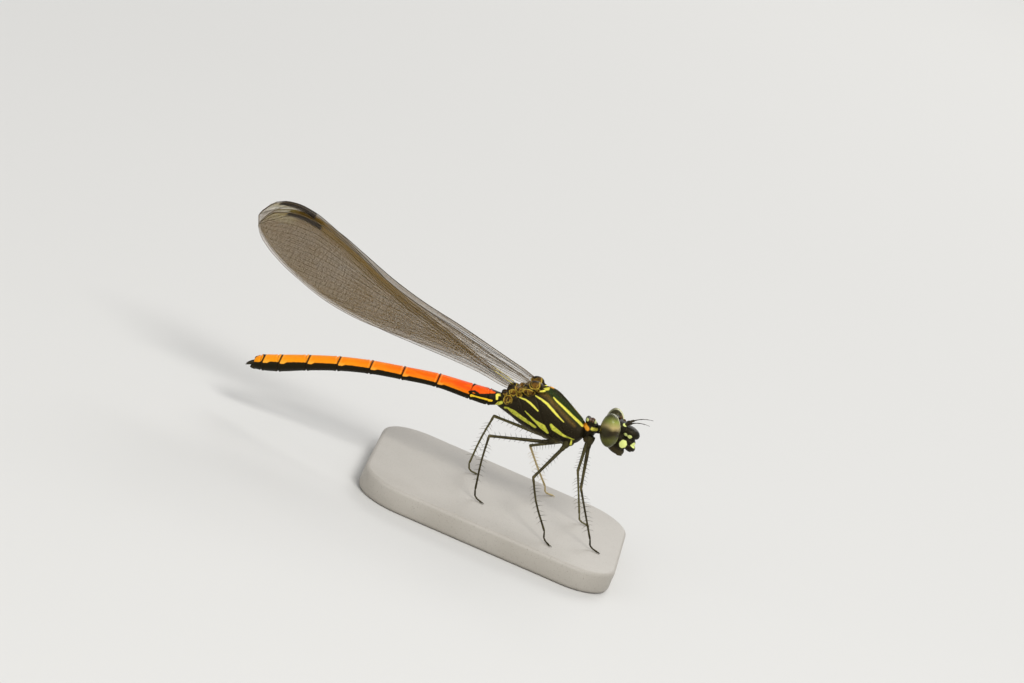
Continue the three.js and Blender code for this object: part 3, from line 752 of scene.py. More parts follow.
# Markings of the thorax as seen from the side: stripes through (x, height, radius) stations
THORAX_GREEN = [[(-4.3, 10.5, 0.32), (-0.2, 9.05, 0.3)]]
THORAX_LEMON = [
    [(-3.35, 10.1, 0.05), (-2.12, 9.62, 0.08), (-1.0, 9.15, 0.075), (-0.14, 8.8, 0.08)],
    [(-4.82, 9.68, 0.05), (-4.25, 9.64, 0.07), (-3.62, 9.5, 0.095), (-3.0, 9.22, 0.1), (-2.35, 8.9, 0.07),
     (-1.74, 8.65, 0.03)],
    [(-6.0, 9.0, 0.04), (-5.46, 9.07, 0.06), (-4.98, 9.0, 0.085), (-4.6, 8.87, 0.085), (-4.14, 8.69, 0.05)],
    [(-4.6, 10.22, 0.07), (-4.05, 10.5, 0.1)],
]
THORAX_LIME = [
    [(-6.8, 7.62, 0.1), (-6.55, 7.72, 0.08), (-5.95, 7.6, 0.22), (-4.83, 7.41, 0.16), (-3.81, 7.21, 0.12)],
    [(-5.13, 8.19, 0.03), (-4.02, 7.76, 0.1), (-3.2, 7.52, 0.25), (-2.63, 7.2, 0.1)],
    [(-2.63, 8.01, 0.11), (-2.3, 7.8, 0.2), (-1.25, 7.51, 0.1), (-0.37, 7.5, 0.05)],
    [(-7.25, 7.9, 0.12), (-7.5, 7.6, 0.14)],
    [(-0.5, 7.35, 0.05), (-0.42, 6.95, 0.09)],
]
THORAX_BROWN = [[(-4.5, 10.1, 0.18), (-3.88, 10.02, 0.16), (-2.51, 9.42, 0.13), (-0.76, 8.64, 0.1)]]
THORAX_COPPER = [[(0.1, 8.9, 0.17), (0.36, 8.78, 0.16)], [(-4.4, 10.8, 0.12), (-3.7, 10.76, 0.12)]]
RIDGE = [(-3.9, 0, 10.72, 0.07), (-0.6, 0, 9.42, 0.07)]
# The dark field round the plates at the wing hinges, and the centre and half sizes of each plate
HINGE_BAND = [[(-4.8, 10.45, 0.45), (-5.4, 10.1, 0.55), (-6.5, 9.25, 0.5), (-7.0, 8.4, 0.45)]]
PLATES = [
    ((-5.3, 0, 10.6), (0.56, 9, 0.46)),
    ((-5.45, 0, 9.72), (0.58, 9, 0.38)),
    ((-6.35, 0, 9.68), (0.42, 9, 0.36)),
    ((-6.15, 0, 9.2), (0.3, 9, 0.24)),
    ((-6.72, 0, 9.12), (0.34, 9, 0.3)),
    ((-6.84, 0, 8.36), (0.42, 9, 0.48)),
    ((-4.82, 0, 10.2), (0.2, 9, 0.22)),
    ((-7.3, 0, 8.75), (0.22, 9, 0.22)),
]
BELLY_HEIGHT = 6.75
CUTICLE_BUMP = 0.022


def thorax_finish(settings):
    material, point = sheet("thorax_cuticle")
    side, height = flattened(point)
    drift = wander(point, 3.0, 0.1)
    grain = flecks(point, 26.0, 4.0)
    # a green back, speckled with olive, over black
    back = (stripes(side, THORAX_GREEN) + drift).inside(0.3)
    speckle = flecks(point, 7.0, 5.0, 0.7).stretched(3.0, 1.1)
    black = blend(flecks(point, 1.5) * 0.5, settings.black, DUSKY)
    color = blend(back, black, blend(speckle, settings.green, OLIVE))
    brown = (stripes(side, THORAX_BROWN) + drift * 1.2).inside(0.22)
    color = blend(brown * (speckle * 0.6 + 0.3), color, BRONZE)
    color = blend(stripe(point, RIDGE).inside(0.08) * 0.8, color, RIDGE_GOLD)
    # brown plates with golden rims, mottled with black, where the wings are hinged
    field = (stripes(side, HINGE_BAND) + drift * 2).inside(0.16)
    color = blend(field, color, PITCH)
    plates = spots(side, PLATES) + drift * 3
    mottled = blend(flecks(point, 3.5, 2.0).stretched(4.0, 1.5), settings.brown, PLATE_BLACK)
    color = blend((plates + 0.1).inside(0.15) * field, color, mottled)
    rim = (abs(plates + 0.14) - 0.09).inside(0.1) * field
    fold = (abs(flecks(point, 1.8, 1.0) - 0.5) - 0.02).inside(0.03) * (plates + 0.1).inside(0.1) * field
    gold = rim | fold * 0.8
    color = blend(gold * flecks(point, 4.0).stretched(1.5, 0.05), color, GOLD)
    # lemon and lime stripes, each with some of the other's colour
    shade = flecks(point, 5.0)
    lemon = (stripes(side, THORAX_LEMON) + drift * 0.3).inside(0.05)
    lime = (stripes(side, THORAX_LIME) + drift * 0.6).inside(0.06)
    color = blend(lemon, color, blend(shade * 0.4, settings.lemon, settings.lime))
    color = blend(lime, color, blend(shade.stretched(2.0, 0.7), settings.lime, settings.lemon))
    color = blend((stripes(side, THORAX_COPPER) + drift).inside(0.1), color, COPPER)
    color = blend((height - BELLY_HEIGHT).inside(0.4) * 0.7, color, BELLY_BROWN)
    gloss = grain * 0.3 + 0.3 + (lemon | lime) * 0.12
    relief = grain + flecks(point, 90.0, 2.0) * 0.4 + gold * 1.5
    return finished(material, color, gloss, relief, CUTICLE_BUMP, {**CUTICLE, "Metallic": back * 0.6})


PRONOTUM_LEMON = [[(0.72, 8.92, 0.13), (1.05, 8.92, 0.15)]]
PRONOTUM_PALE = [((0.8, 0, 9.47), (0.13, 1, 0.1)), ((0.05, 0, 9.47), (0.12, 1, 0.1))]
PRONOTUM_RUST = [((0.3, 0, 9.5), (0.1, 1, 0.09)), ((0.55, 0, 9.52), (0.1, 1, 0.09))]
THROAT_HEIGHT = 7.95


def pronotum_finish(settings):
    material, point = sheet("pronotum_cuticle")
    side, height = flattened(point)
    drift = wander(point, 4.0, 0.16)
    grain = flecks(point, 30.0, 4.0)
    color = blend((stripes(side, PRONOTUM_LEMON) + drift).inside(0.1), settings.black, settings.lemon)
    color = blend((stripes(side, THORAX_COPPER[:1]) + drift).inside(0.1), color, COPPER)
    color = blend((spots(side, PRONOTUM_PALE) + drift).inside(0.3) * 0.6, color, settings.cream)
    color = blend((spots(side, PRONOTUM_RUST) + drift).inside(0.3) * 0.6, color, RUST)
    color = blend((height - THROAT_HEIGHT).inside(0.3) * 0.6, color, THROAT_BROWN)
    return finished(material, color, grain * 0.3 + 0.3, grain, CUTICLE_BUMP, CUTICLE)


# Pale spots of the left half of the face, in the head's frame: centre and half sizes
FACE_SPOTS = [
    ((1.02, 0.8, 0.86), (0.28, 0.26, 0.2)),
    ((1.28, 0.56, 0.86), (0.12, 0.12, 0.1)),
    ((1.3, 0.82, 0.02), (0.24, 0.26, 0.22)),
    ((1.72, 0.6, 0.05), (0.2, 0.24, 0.16)),
    ((1.45, 0.88, -0.72), (0.34, 0.4, 0.36)),
    ((2.3, 0.34, -0.55), (0.4, 0.32, 0.24)),
    ((0.72, 1.0, 1.0), (0.3, 0.1, 0.1)),
    ((0.2, 0.75, 1.1), (0.26, 0.12, 0.2)),
]
GLOSSY_NOSE = ((1.9, 0, 0.3), (0.9, 0.9, 0.65))
CHIN_HEIGHT = -1.3


def head_finish(settings):
    material, point = sheet("head_cuticle", HEAD, HEAD_TURN)
    half_face, height = folded(point)
    grain = flecks(point, 30.0, 4.0)
    pale = (spots(half_face, FACE_SPOTS) + wander(point, 4.0, 0.5)).inside(0.14)
    color = blend(pale, settings.black, settings.cream)
    color = blend((height - CHIN_HEIGHT).inside(0.3) * 0.4, color, CHIN_BROWN)
    nose = spot(point, *GLOSSY_NOSE).inside(0.5)
    return finished(material, color, grain * 0.3 + 0.3 - nose * 0.14, grain, CUTICLE_BUMP, CUTICLE)


# Colours of the eye from its lower end to its upper; the pale beige band at 0.66 is a painted highlight
EYE_BANDS = [
    (0.0, (0.05, 0.055, 0.01)), (0.26, (0.085, 0.09, 0.018)), (0.4, (0.022, 0.017, 0.006)),
    (0.52, (0.03, 0.022, 0.008)), (0.66, (0.46, 0.36, 0.15)), (0.8, (0.27, 0.31, 0.06)),
    (0.93, (0.07, 0.075, 0.02)), (1.0, (0.02, 0.018, 0.008)),
]
PUPIL = ((-0.2, 2.55, -0.15), (0.5, 0.5, 0.5))
# Ways across the eye, over its half sizes: backwards, inwards, upwards and forwards
EYE_REAR = (-1, 0, 0.2)
EYE_INNER = (0.12, -1.04, 0.1)
EYE_UPPER = (0.15, 0, 0.67)
EYE_FRONT = (0.5, 0, 0.2)


def eye_finish():
    material, point = sheet("eye_facets", HEAD, HEAD_TURN)
    half_face, _ = folded(point)
    arm = half_face.vector("SUBTRACT", EYE[0])
    lean = Matrix.Rotation(math.radians(EYE_LEAN), 3, "Y")
    height = arm.seen(lean @ Vector((0, 0, 1 / EYE[1][2]))) + wander(point, 1.3, 0.3, 2.0)
    # bands of the eye's colours, with a painted highlight in the pale beige band
    color = point.node("ValToRGB", {"stops": EYE_BANDS}, {0: height * 0.5 + 0.5})
    color = blend(spot(half_face, *PUPIL).inside(0.7) * 0.85, color, SOOT)
    # duller towards the rear
    color = blend(arm.seen(EYE_REAR).ramp(-0.2, 0.8) * 0.65, color, (0.04, 0.04, 0.01))
    # the pale arc over the inner side of the eye is a painted rim highlight, brighter towards the front, and
    # the dark below it is the eye's own colour
    inner = arm.seen(EYE_INNER)
    color = blend((0.42 - inner).inside(0.2) * 0.9, color, (0.02, 0.018, 0.007))
    highlight_arc = (abs(inner - 0.23) - 0.22 | 0.3 - arm.seen(EYE_UPPER)).inside(0.06)
    color = blend(highlight_arc * arm.seen(EYE_FRONT).ramp(-0.05, 0.45, 0.15, 1.0), color, IVORY_HIGHLIGHT)
    facets = point.node("TexVoronoi", {"feature": "SMOOTH_F1"}, {
        "Vector": point, "Scale": 16.0, "Smoothness": 0.3})
    return finished(material, color, flecks(point, 20.0) * 0.1 + 0.2, 1 - facets, 0.018, LENS)


# Markings of the abdomen, on its side unrolled: stripes through (x, height there, radius) stations
WEDGE = [(-9.75, 0.42, 0.3), (-9.3, 0.5, 0.26), (-8.1, 0.62, 0.05)]
TAIL_PATCH = [(-27.68, 0.5, 0.24), (-27.92, 0.5, 0.22)]
HONEY_BONE = [[(-9.83, -0.12, 0.13), (-9.5, -0.08, 0.06), (-8.65, -0.04, 0.08), (-8.1, -0.1, 0.1)]]
FIRST_SPOTS = [
    [(-7.72, 0.14, 0.09), (-7.84, 0.5, 0.11), (-7.5, 0.6, 0.1)],
    [(-7.4, -0.2, 0.16), (-7.6, -0.6, 0.12)],
]
BLACK_NOTCH = [[(-10.1, 0.16, 0.1), (-9.75, 0.3, 0.1), (-9.3, 0.18, 0.08)]]
SADDLE_SPAN = (-10.08, -27.38)
GIRTH = 0.72  # a middling half size, which turns the cosine into millimetres


def abdomen_finish(settings):
    material, point = sheet("abdomen_cuticle")
    x = axes(point)[0]
    around = note(point, "around")
    unrolled = point.node("CombineXYZ", None, {0: x, 1: 0.0, 2: around * GIRTH})
    drift = wander(point, 2.5, 0.12)
    grain = flecks(point, 22.0, 4.0)
    joints = [joint[0] for joint in ABDOMEN[3:10]]
    # the orange is a saddle over the back, from the third segment to the ninth
    corner = (nearest([abs(x - (joint + 0.3)) for joint in joints]) - 0.24).inside(0.2)
    limit = x.ramp(-10.0, -27.4, *SADDLE) - corner * 0.17
    saddle = (limit - around + drift) * GIRTH | (x - SADDLE_SPAN[0]) | (SADDLE_SPAN[1] - x)
    saddle = saddle.inside(0.05)
    warm = blend(x.ramp(-10.5, -17.0), settings.red, settings.orange)
    warm = blend(x.ramp(-16.0, -26.0) * 0.7, warm, settings.amber)
    flank = (limit + 0.55 - around).ramp(0.0, 0.6)
    long_point = point.node("Mapping", {"vector_type": "POINT"}, {"Vector": point, "Scale": (0.5, 2.2, 2.2)})
    streaks = flecks(long_point, 1.6).stretched(2.0, 0.8)
    warm = blend(flank * 0.55 + streaks * 0.4, warm, settings.amber)
    patches = (stripes(unrolled, [WEDGE, TAIL_PATCH]) + drift * 0.3).inside(0.05)
    color = blend(saddle | patches, (0.0085, 0.007, 0.003), warm)
    # dark rings at the joints, with a paler line on both sides and a yellow corner in front of each
    rings = nearest([abs(x - (joint + 0.02)) for joint in joints])
    lines = nearest([abs(abs(x - (joint + 0.01)) - 0.18) for joint in joints])
    low = (around - limit - 0.3).inside(0.35)
    pale = (corner * low) | (lines - 0.04).inside(0.05) * 0.6
    color = blend(pale * saddle * 0.6, color, (1.0, 0.47, 0.05))
    color = blend((rings - 0.075).inside(0.05) * 0.95, color, (0.016, 0.01, 0.004))
    color = blend((stripes(unrolled, HONEY_BONE) + drift * 0.3).inside(0.04), color, HONEY)
    color = blend((stripes(unrolled, FIRST_SPOTS) + drift * 0.3).inside(0.04), color, settings.lemon)
    color = blend((stripes(unrolled, BLACK_NOTCH) + drift).inside(0.05), color, SOOT)
    relief = grain * 0.7 + flecks(point, 70.0, 2.0) * 0.3
    return finished(material, color, grain * 0.25 + 0.33, relief, 0.025, DULL)


def dark_finish(name, color, lift):
    """Dark horny cuticle, a little browner in places."""
    material, point = sheet(name)
    grain = flecks(point, 24.0, 4.0)
    base = blend(flecks(point, 1.7) * lift, color, HORN_BROWN)
    return finished(material, base, grain * 0.3 + 0.28, grain, 0.012, CUTICLE)


def leg_finish(name, pale):
    """Dark legs that are paler inside and at the knees; pale is how light the shin is."""
    material, point = sheet(name)
    shin = note(point, "shin")
    grain = flecks(point, 24.0, 4.0)
    color = blend(flecks(point, 1.5).stretched(2.0, 0.6), (0.014, 0.012, 0.005), (0.055, 0.047, 0.017))
    color = blend(note(point, "inner") * 0.55, color, (0.2, 0.18, 0.07))
    color = blend((0.5 - shin).inside(0.05) * pale, color, (0.66, 0.53, 0.28))
    knee = (abs(shin - 0.5) - 0.025).inside(0.05)
    color = blend(knee * 0.6, color, (0.16, 0.13, 0.06))
    return finished(material, color, grain * 0.3 + 0.35, grain, 0.012, CUTICLE)


def membrane_finish(name, settings, ends):
    """Smoky membrane; ends is where the dark cell near the tip starts and stops."""
    material, point = sheet(name)
    reach, chord = note(point, "reach"), note(point, "chord")
    smoke = flecks(point, 0.35, 2.0)
    front = chord.ramp(0.05, 0.2, 1.0, 0.0)
    # the dark cell near the tip, and a clearer yellowish place beyond it
    beyond = (ends[0] - reach - chord * 0.06) | (reach - chord * 0.06 - ends[1])
    dark = (beyond * 8.0 | (chord - SPOT_DEPTH)).inside(0.035)
    clear = spot(point.node("CombineXYZ", None, {0: reach, 1: chord}), (0.955, 0.14, 0), (0.05, 0.13, 1))
    clear = clear.inside(0.6)
    color = blend(smoke * 0.6, settings.tint, [1.6 * c for c in settings.tint])
    color = blend(clear * 0.6, color, (0.34, 0.27, 0.05))
    color = blend(dark, color, (0.022, 0.013, 0.004))
    alpha = (smoke * 0.5 + 0.75 + front * 1.1) * settings.opacity * reach.ramp(0.0, 0.25, 0.8, 1.0)
    alpha = alpha * (1.0 - clear * 0.25) | dark * 0.72
    ripple = flecks(point, 2.4, 2.0)
    return finished(material, color, ripple * 0.15 + 0.22, ripple, 0.03, {"Alpha": alpha})


def vein_finish(name, settings, gold):
    """Brown veins; gold is how yellow the front edge is near the root."""
    material, point = sheet(name)
    reach, chord = note(point, "reach"), note(point, "chord")
    color = blend(flecks(point, 3.0) * 0.5, settings.vein, [2.2 * c for c in settings.vein])
    color = blend(reach.ramp(0.0, 0.1, 0.3, 0.0), color, (0.3, 0.17, 0.03))
    golden = (chord - 0.03).inside(0.03) * (reach - 0.085).inside(0.03)
    color = blend(golden * gold, color, (0.6, 0.5, 0.08))
    return finished(material, color, flecks(point, 12.0) * 0.2 + 0.35)


def base_finish():
    material, point = sheet("display_base")
    cloudy = flecks(point, 0.25, 5.0)
    specks = flecks(point, 9.0, 2.0, 0.8)
    color = blend(cloudy, (0.36, 0.33, 0.28), (0.45, 0.42, 0.37))
    color = blend(specks.stretched(6.0, 3.6), color, (0.2, 0.17, 0.13))
    return finished(material, color, cloudy * 0.15 + 0.45, specks, 0.02)


def floor_finish(settings):
    material, point = sheet("studio_floor")
    color = blend(flecks(point, 0.02, 2.0) * 0.15, settings.floor, [0.92 * c for c in settings.floor])
    return finished(material, color, 0.7)


# Forms


def thorax_point(x, degrees):
    """A point of the thorax at x, and at an angle round it from the middle of the back."""
    top, belly, half = (float(along(profile(THORAX, i), -x)) for i in (1, 2, 3))
    s, c = math.sin(math.radians(degrees)), math.cos(math.radians(degrees))
    centre = belly + (top - belly) * THORAX_CENTRE
    height = top - centre if c > 0 else centre - belly
    roof = 1 - ROOF_SLOPE * c * c * abs(s) if c > 0 else 1
    return Vector((x, half * s * roof, centre + height * c * roof))


def thorax_shape():
    shape = Shape()
    stations = np.linspace(THORAX[0][0], THORAX[-1][0], THORAX_RINGS)
    turns = [360 * k / THORAX_SIDES for k in range(THORAX_SIDES)]
    shape.loft([[thorax_point(x, turn) for turn in turns] for x in stations])
    lift = Vector((0, 0, KEEL["lift"]))
    keel = [thorax_point(x, 0) + lift for x in np.linspace(*KEEL["span"], len(KEEL["radii"]))]
    shape.tube(keel, KEEL["radii"])
    for centre, half in HINGES.values():
        for side in SIDES.values():
            shape.egg(mirrored(centre, side), half, HINGE_LEAN)
    for centre, half, lean in BACK_PLATES:
        shape.egg(centre, half, lean)
    for side in SIDES.values():
        for centre, r in KNUCKLES:
            shape.egg(mirrored(centre, side), (r * 1.25, r * 0.8, r), KNUCKLE_LEAN, 16, 10)
        for name, leg in LEGS.items():
            if leg[0][1] * side > 0 and not name.startswith("front"):
                shape.egg(Vector(leg[0]) + Vector(HIP[0]), HIP[1], 0, 20, 12)
    lines = []
    for side in SIDES.values():
        for suture in SUTURES:
            pairs = profile(suture, 1)
            xs = np.linspace(suture[0][0], suture[-1][0], 14)
            path = [thorax_point(x, side * (180 - 180 * float(along(pairs, -x)))) for x in xs]
            lines.append((path, 0.06, 0.07))
        beside_keel = [thorax_point(x, side * 25) for x in np.linspace(-0.4, -4.0, 10)]
        lines.append((beside_keel, 0.12, 0.03))
    return shape.fused(0.065, 6).pressed(lines)


def pronotum_shape():
    """The small first ring with its collar, its lobe behind, bosses and hips, and the neck."""
    x, z = PRONOTUM
    shape = Shape()
    for (a, b, c), half, lean in PRONOTUM_FORMS:
        shape.egg((x + a, b, z + c), half, lean)
    for side in SIDES.values():
        for (a, b, c), half, lean in PRONOTUM_SIDES:
            shape.egg((x + a, side * b, z + c), half, lean)
    shape.tube([between(NECK["start"], NECK["end"], t / 6) for t in range(7)],
               [NECK["radius"] * (1 + 0.06 * math.sin(t * 2.6)) for t in range(7)], 24)
    turns = np.linspace(0, 2 * math.pi, 24)
    groove = [(x - 0.28, 0.9 * math.cos(a), z + 0.05 + 0.95 * math.sin(a)) for a in turns]
    return shape.fused(0.055, 5).pressed([(groove, 0.06, 0.05)])


def head_shape():
    shape = Shape()
    for centre, half, lean in HEAD_FORMS:
        shape.egg(centre, half, lean, 36, 24)
    for side in SIDES.values():
        for centre, half, lean in (JAW, ANTENNA_SOCKET):
            shape.egg(mirrored(centre, side), half, lean)
        shape.tube([mirrored(p, side) for p in PALP[0]], PALP[1])
    lines = []
    for (x, y, z), (back, down), half, width, depth in FACE_GROOVES:
        path = [(x - back * s * s, y + half * s, z - down * s * s) for s in np.linspace(-1, 1, 15)]
        lines.append((path, width, depth))
    return shape.fused(0.06, 5).pressed(lines)


def eye_shape(side):
    centre, half = EYE
    return Shape().egg(mirrored(centre, side), half, EYE_LEAN, 72, 48)


def antenna_shape(side):
    """A short thick root of two joints, and a thread of a few more."""
    shape = Shape()
    start = Vector(mirrored(ANTENNA["start"], side))
    way = Vector(mirrored(ANTENNA["way"], side)).normalized()
    shape.tube([start + way * t for t, _ in ANTENNA_JOINTS], [r for _, r in ANTENNA_JOINTS], 14)
    bend = Vector(ANTENNA["bend"])
    shares = [t / 10 for t in range(11)]
    path = [start + way * (THREAD["start"] + THREAD["length"] * t) + bend * (t * t) for t in shares]
    radii = [THREAD["radius"] * (1 - THREAD["taper"] * t) for t in shares]
    for i in range(1, len(radii), 3):
        radii[i] += THREAD["knot"]
    return shape.tube(path, radii)


def swell_at(x, joints):
    """How far the abdomen stands out at x, with a raised rim on both sides of each joint's groove."""
    return sum(height * math.exp(-(((x - j) - place) / width) ** 2)
               for j in joints for height, place, width in JOINT_RELIEF)


def abdomen_shape():
    """One skin with a groove and raised rims at each joint, which notes how far round a point is."""
    joints = [s[0] for s in ABDOMEN[1:-1]]
    rear = ABDOMEN[-1][0]
    stations = {round(x, 3) for x in np.linspace(ABDOMEN[0][0], rear, ABDOMEN_RINGS)}
    stations |= {round(j + d, 3) for j in joints for d in JOINT_RINGS}
    middle, high, wide = (profile(ABDOMEN, i) for i in (1, 2, 3))
    step = 0.05
    rings = []
    around = []
    for x in sorted(stations, reverse=True):
        z, rz, ry = (float(along(pairs, -x)) for pairs in (middle, high, wide))
        slope = (float(along(middle, -x + step)) - float(along(middle, -x - step))) / (2 * step)
        back = Vector((-1, 0, slope)).normalized()
        up = Vector((back.z, 0, -back.x))
        swell = swell_at(x, joints)
        scale = TAIL_END + (1 - TAIL_END) * smooth((x - rear) / TAIL_ROUNDING)
        ring = []
        for k in range(ABDOMEN_SIDES):
            a = 2 * math.pi * k / ABDOMEN_SIDES
            c, s = math.cos(a), math.sin(a)
            flat = UNDERSIDE if c < 0 else 1.0
            groove = 0.1 * math.exp(-((a - math.pi) / 0.22) ** 2)
            size = (rz * flat + swell - groove) * scale
            ring.append(Vector((x, 0, z)) + up * (size * c) + Vector((0, (ry + swell) * scale * s, 0)))
            around.append(c)
        rings.append(ring)
    shape = Shape().loft(rings)
    shape.notes["around"] = around + [0.0, 0.0]
    return shape


def cercus_shape(side):
    """An upper clasper and the shorter one under it."""
    rear, height = ABDOMEN[-1][:2]
    shape = Shape()
    for start, places, sides in (((rear + 0.15, 0.26, height + 0.13), CLASPER, 14),
                                 ((rear + 0.3, 0.2, height - 0.12), LOWER_CLASPER, 12)):
        start = Vector(mirrored(start, side))
        path = [start + Vector((-a, side * b, c)) for a, b, c, _ in places]
        shape.tube(path, [r for *_, r in places], sides)
    return shape


def notes_on_leg(shape, spans, inner_side):
    """Notes on each point how far down the leg it is, 0.5 at the knee, and how far it faces inwards."""
    points = np.array(shape.points)
    shin = np.zeros(len(points))
    inner = np.zeros(len(points))
    for first, last, share, path in spans:
        shin[first:last] = share
        core = np.array([tuple(p) for p in path])
        here = points[first:last]
        close = core[np.argmin(np.linalg.norm(here[:, None] - core[None], axis=2), axis=1)]
        away = here - close
        away /= np.maximum(np.linalg.norm(away, axis=1), 1e-6)[:, None]
        inner[first:last] = np.clip(away @ np.array(tuple(inner_side)), 0, 1)
    femur, tibia = spans[2:4]
    for (first, last, _, path), start in ((femur, 0.0), (tibia, 0.5)):
        reach = path[-1] - path[0]
        for i in range(first, last):
            t = (Vector(shape.points[i]) - path[0]).dot(reach) / reach.length_squared
            shin[i] = start + 0.5 * t
    shape.notes["shin"] = shin.tolist()
    shape.notes["inner"] = inner.tolist()


def leg_shape(leg, settings, seed):
    """Coxa, trochanter, femur, tibia, three tarsal joints, claws and two rows of bristles."""
    root, knee, heel, toe = (Vector(p) for p in leg[:4])
    bow = leg[4]
    femur, tibia = settings.femur / MM, settings.tibia / MM
    draw = random.Random(seed)
    shape = Shape()
    inner_side = Vector((0, -math.copysign(1, root.y), 0))
    spans = []

    def limb(path, radii, sides, share):
        """A bar, noted with how far down the leg it is."""
        first = len(shape.points)
        shape.tube(path, radii, sides)
        spans.append((first, len(shape.points), share, path))

    def over(point, height):
        return point + Vector((0, 0, height))

    collar = over(root + (knee - root) * 0.07, -0.12)
    coxa = [over(root, 0.35), over(root, 0.1), between(root, collar, 0.6), collar]
    limb(coxa, [0.34, 0.36, 0.29, 0.2], 20, 0)
    limb([over(collar, 0.1)] + [between(collar, knee, t) for t in (0.02, 0.06, 0.1)],
         [0.19, 0.21, 0.2, 0.15], 18, 0.1)
    limb([between(collar, knee, t) for t, _ in FEMUR], [femur * girth for _, girth in FEMUR], 16, 0.3)
    shin = []
    for t, _ in TIBIA:
        bent = bow * math.sin(math.pi * min(max(t, 0), 1)) ** 1.5
        shin.append(between(knee, heel, t) - Vector((bent, 0, 0)))
    limb(shin, [tibia * girth for _, girth in TIBIA], 14, 0.7)
    # the foot: two short joints and a longer one, which settle on the base
    foot = [heel, heel.lerp(toe, 0.2), heel.lerp(toe, 0.48), toe]
    foot[1].z = toe.z + 0.24
    foot[2].z = toe.z + 0.08
    for a, b in zip(foot, foot[1:]):
        limb([between(a, b, t) for t, _ in TARSUS], [radius for _, radius in TARSUS], 12, 0.9)
    way = (foot[3] - foot[2]).normalized()
    out = way.cross(Vector((0, 0, 1))).normalized()
    for turn in (-1, 1):
        claw = [foot[3] + way * a + out * (turn * b) + Vector((0, 0, c)) for a, b, c, _ in CLAW]
        limb(claw, [radius for *_, radius in CLAW], 8, 0.95)
    # bristles stand in two rows under the femur and the tibia
    for path, radius, count, length, share in (
        ([between(collar, knee, t) for t in (0.22, 0.93)], femur, 8, 0.75, 0.3),
        (shin[3:8], tibia, 9, 1.0, 0.7),
    ):
        way = path[-1] - path[0]
        side = way.cross(inner_side).normalized()
        way.normalize()
        for i in range(count):
            t = (i + 0.5) / count * (len(path) - 1)
            k = min(int(t), len(path) - 2)
            rooted = between(path[k], path[k + 1], t - k)
            for row in (-1, 1):
                lean = inner_side * 0.55 + side * row + way * 0.45
                lean += Vector((draw.uniform(-0.15, 0.15) for _ in range(3)))
                lean.normalize()
                size = settings.bristle / MM * length * draw.uniform(0.75, 1.15)
                reaches = (radius * 0.6, radius + size * 0.55, radius + size)
                spine = [rooted + lean * reach for reach in reaches]
                spine[2] += way * (0.12 * size)
                limb(spine, BRISTLE_RADII, 5, share)
    notes_on_leg(shape, spans, inner_side)
    return shape


class Wing:
    """Places on one wing, by share of the length and share of the chord."""

    def __init__(self, plan, side):
        self.root = Vector(mirrored(plan["root"], side))
        self.tip = Vector(mirrored(plan["tip"], side))
        self.way = self.tip - self.root
        self.length = self.way.length
        self.up = Vector((self.way.z, 0, -self.way.x)).normalized()
        self.out = Vector((0, side, 0))
        self.plan = plan

    def edges(self, t):
        return float(along(self.plan["front"], t)), float(along(self.plan["rear"], t))

    def chord(self, t):
        front, rear = self.edges(t)
        return front - rear

    def at(self, t, v, lift=0.0):
        """The place, lifted off the membrane. The pleats are deepest near the root and the front edge."""
        front, rear = self.edges(t)
        wave = PLEATS["depth"] * math.cos(v * PLEATS["across"] * math.pi)
        pleat = wave * (1 - PLEATS["lost at tip"] * t) * math.exp(-PLEATS["fade"] * v)
        camber = CAMBER * math.sin(math.pi * v) * math.sin(math.pi * min(t, 1))
        grown = smooth(t * 8)
        across = self.up * (front + (rear - front) * v)
        return self.root + self.way * t + across + self.out * ((pleat + camber) * grown + lift)


def membrane(wing, side, half, shape):
    """Adds the thin closed sheet to the shape; the shares of length and of chord of its points come back."""
    reach, chord = [], []
    faces = [[], []]
    for r in range(MEMBRANE_ROWS + 1):
        t = 1 - (1 - r / MEMBRANE_ROWS) ** ROW_CROWDING
        for c in range(MEMBRANE_COLUMNS + 1):
            v = c / MEMBRANE_COLUMNS
            faces[0].append(wing.at(t, v, half))
            faces[1].append(wing.at(t, v, -half))
            reach.append(t)
            chord.append(v)
    wide = MEMBRANE_COLUMNS + 1
    count = len(faces[0])
    quads = []
    for r in range(MEMBRANE_ROWS):
        for a in range(r * wide, r * wide + MEMBRANE_COLUMNS):
            quads.append((a, a + 1, a + wide + 1, a + wide))
            quads.append((count + a, count + a + wide, count + a + wide + 1, count + a + 1))
    rim = list(range(MEMBRANE_COLUMNS))
    rim += [r * wide + MEMBRANE_COLUMNS for r in range(MEMBRANE_ROWS)]
    rim += [MEMBRANE_ROWS * wide + MEMBRANE_COLUMNS - c for c in range(MEMBRANE_COLUMNS)]
    rim += [(MEMBRANE_ROWS - r) * wide for r in range(MEMBRANE_ROWS)]
    for a, b in zip(rim, rim[1:] + rim[:1]):
        quads.append((b, a, count + a, count + b))
    if side < 0:
        quads = [quad[::-1] for quad in quads]
    shape.add(faces[0] + faces[1], quads)
    return reach * 2, chord * 2


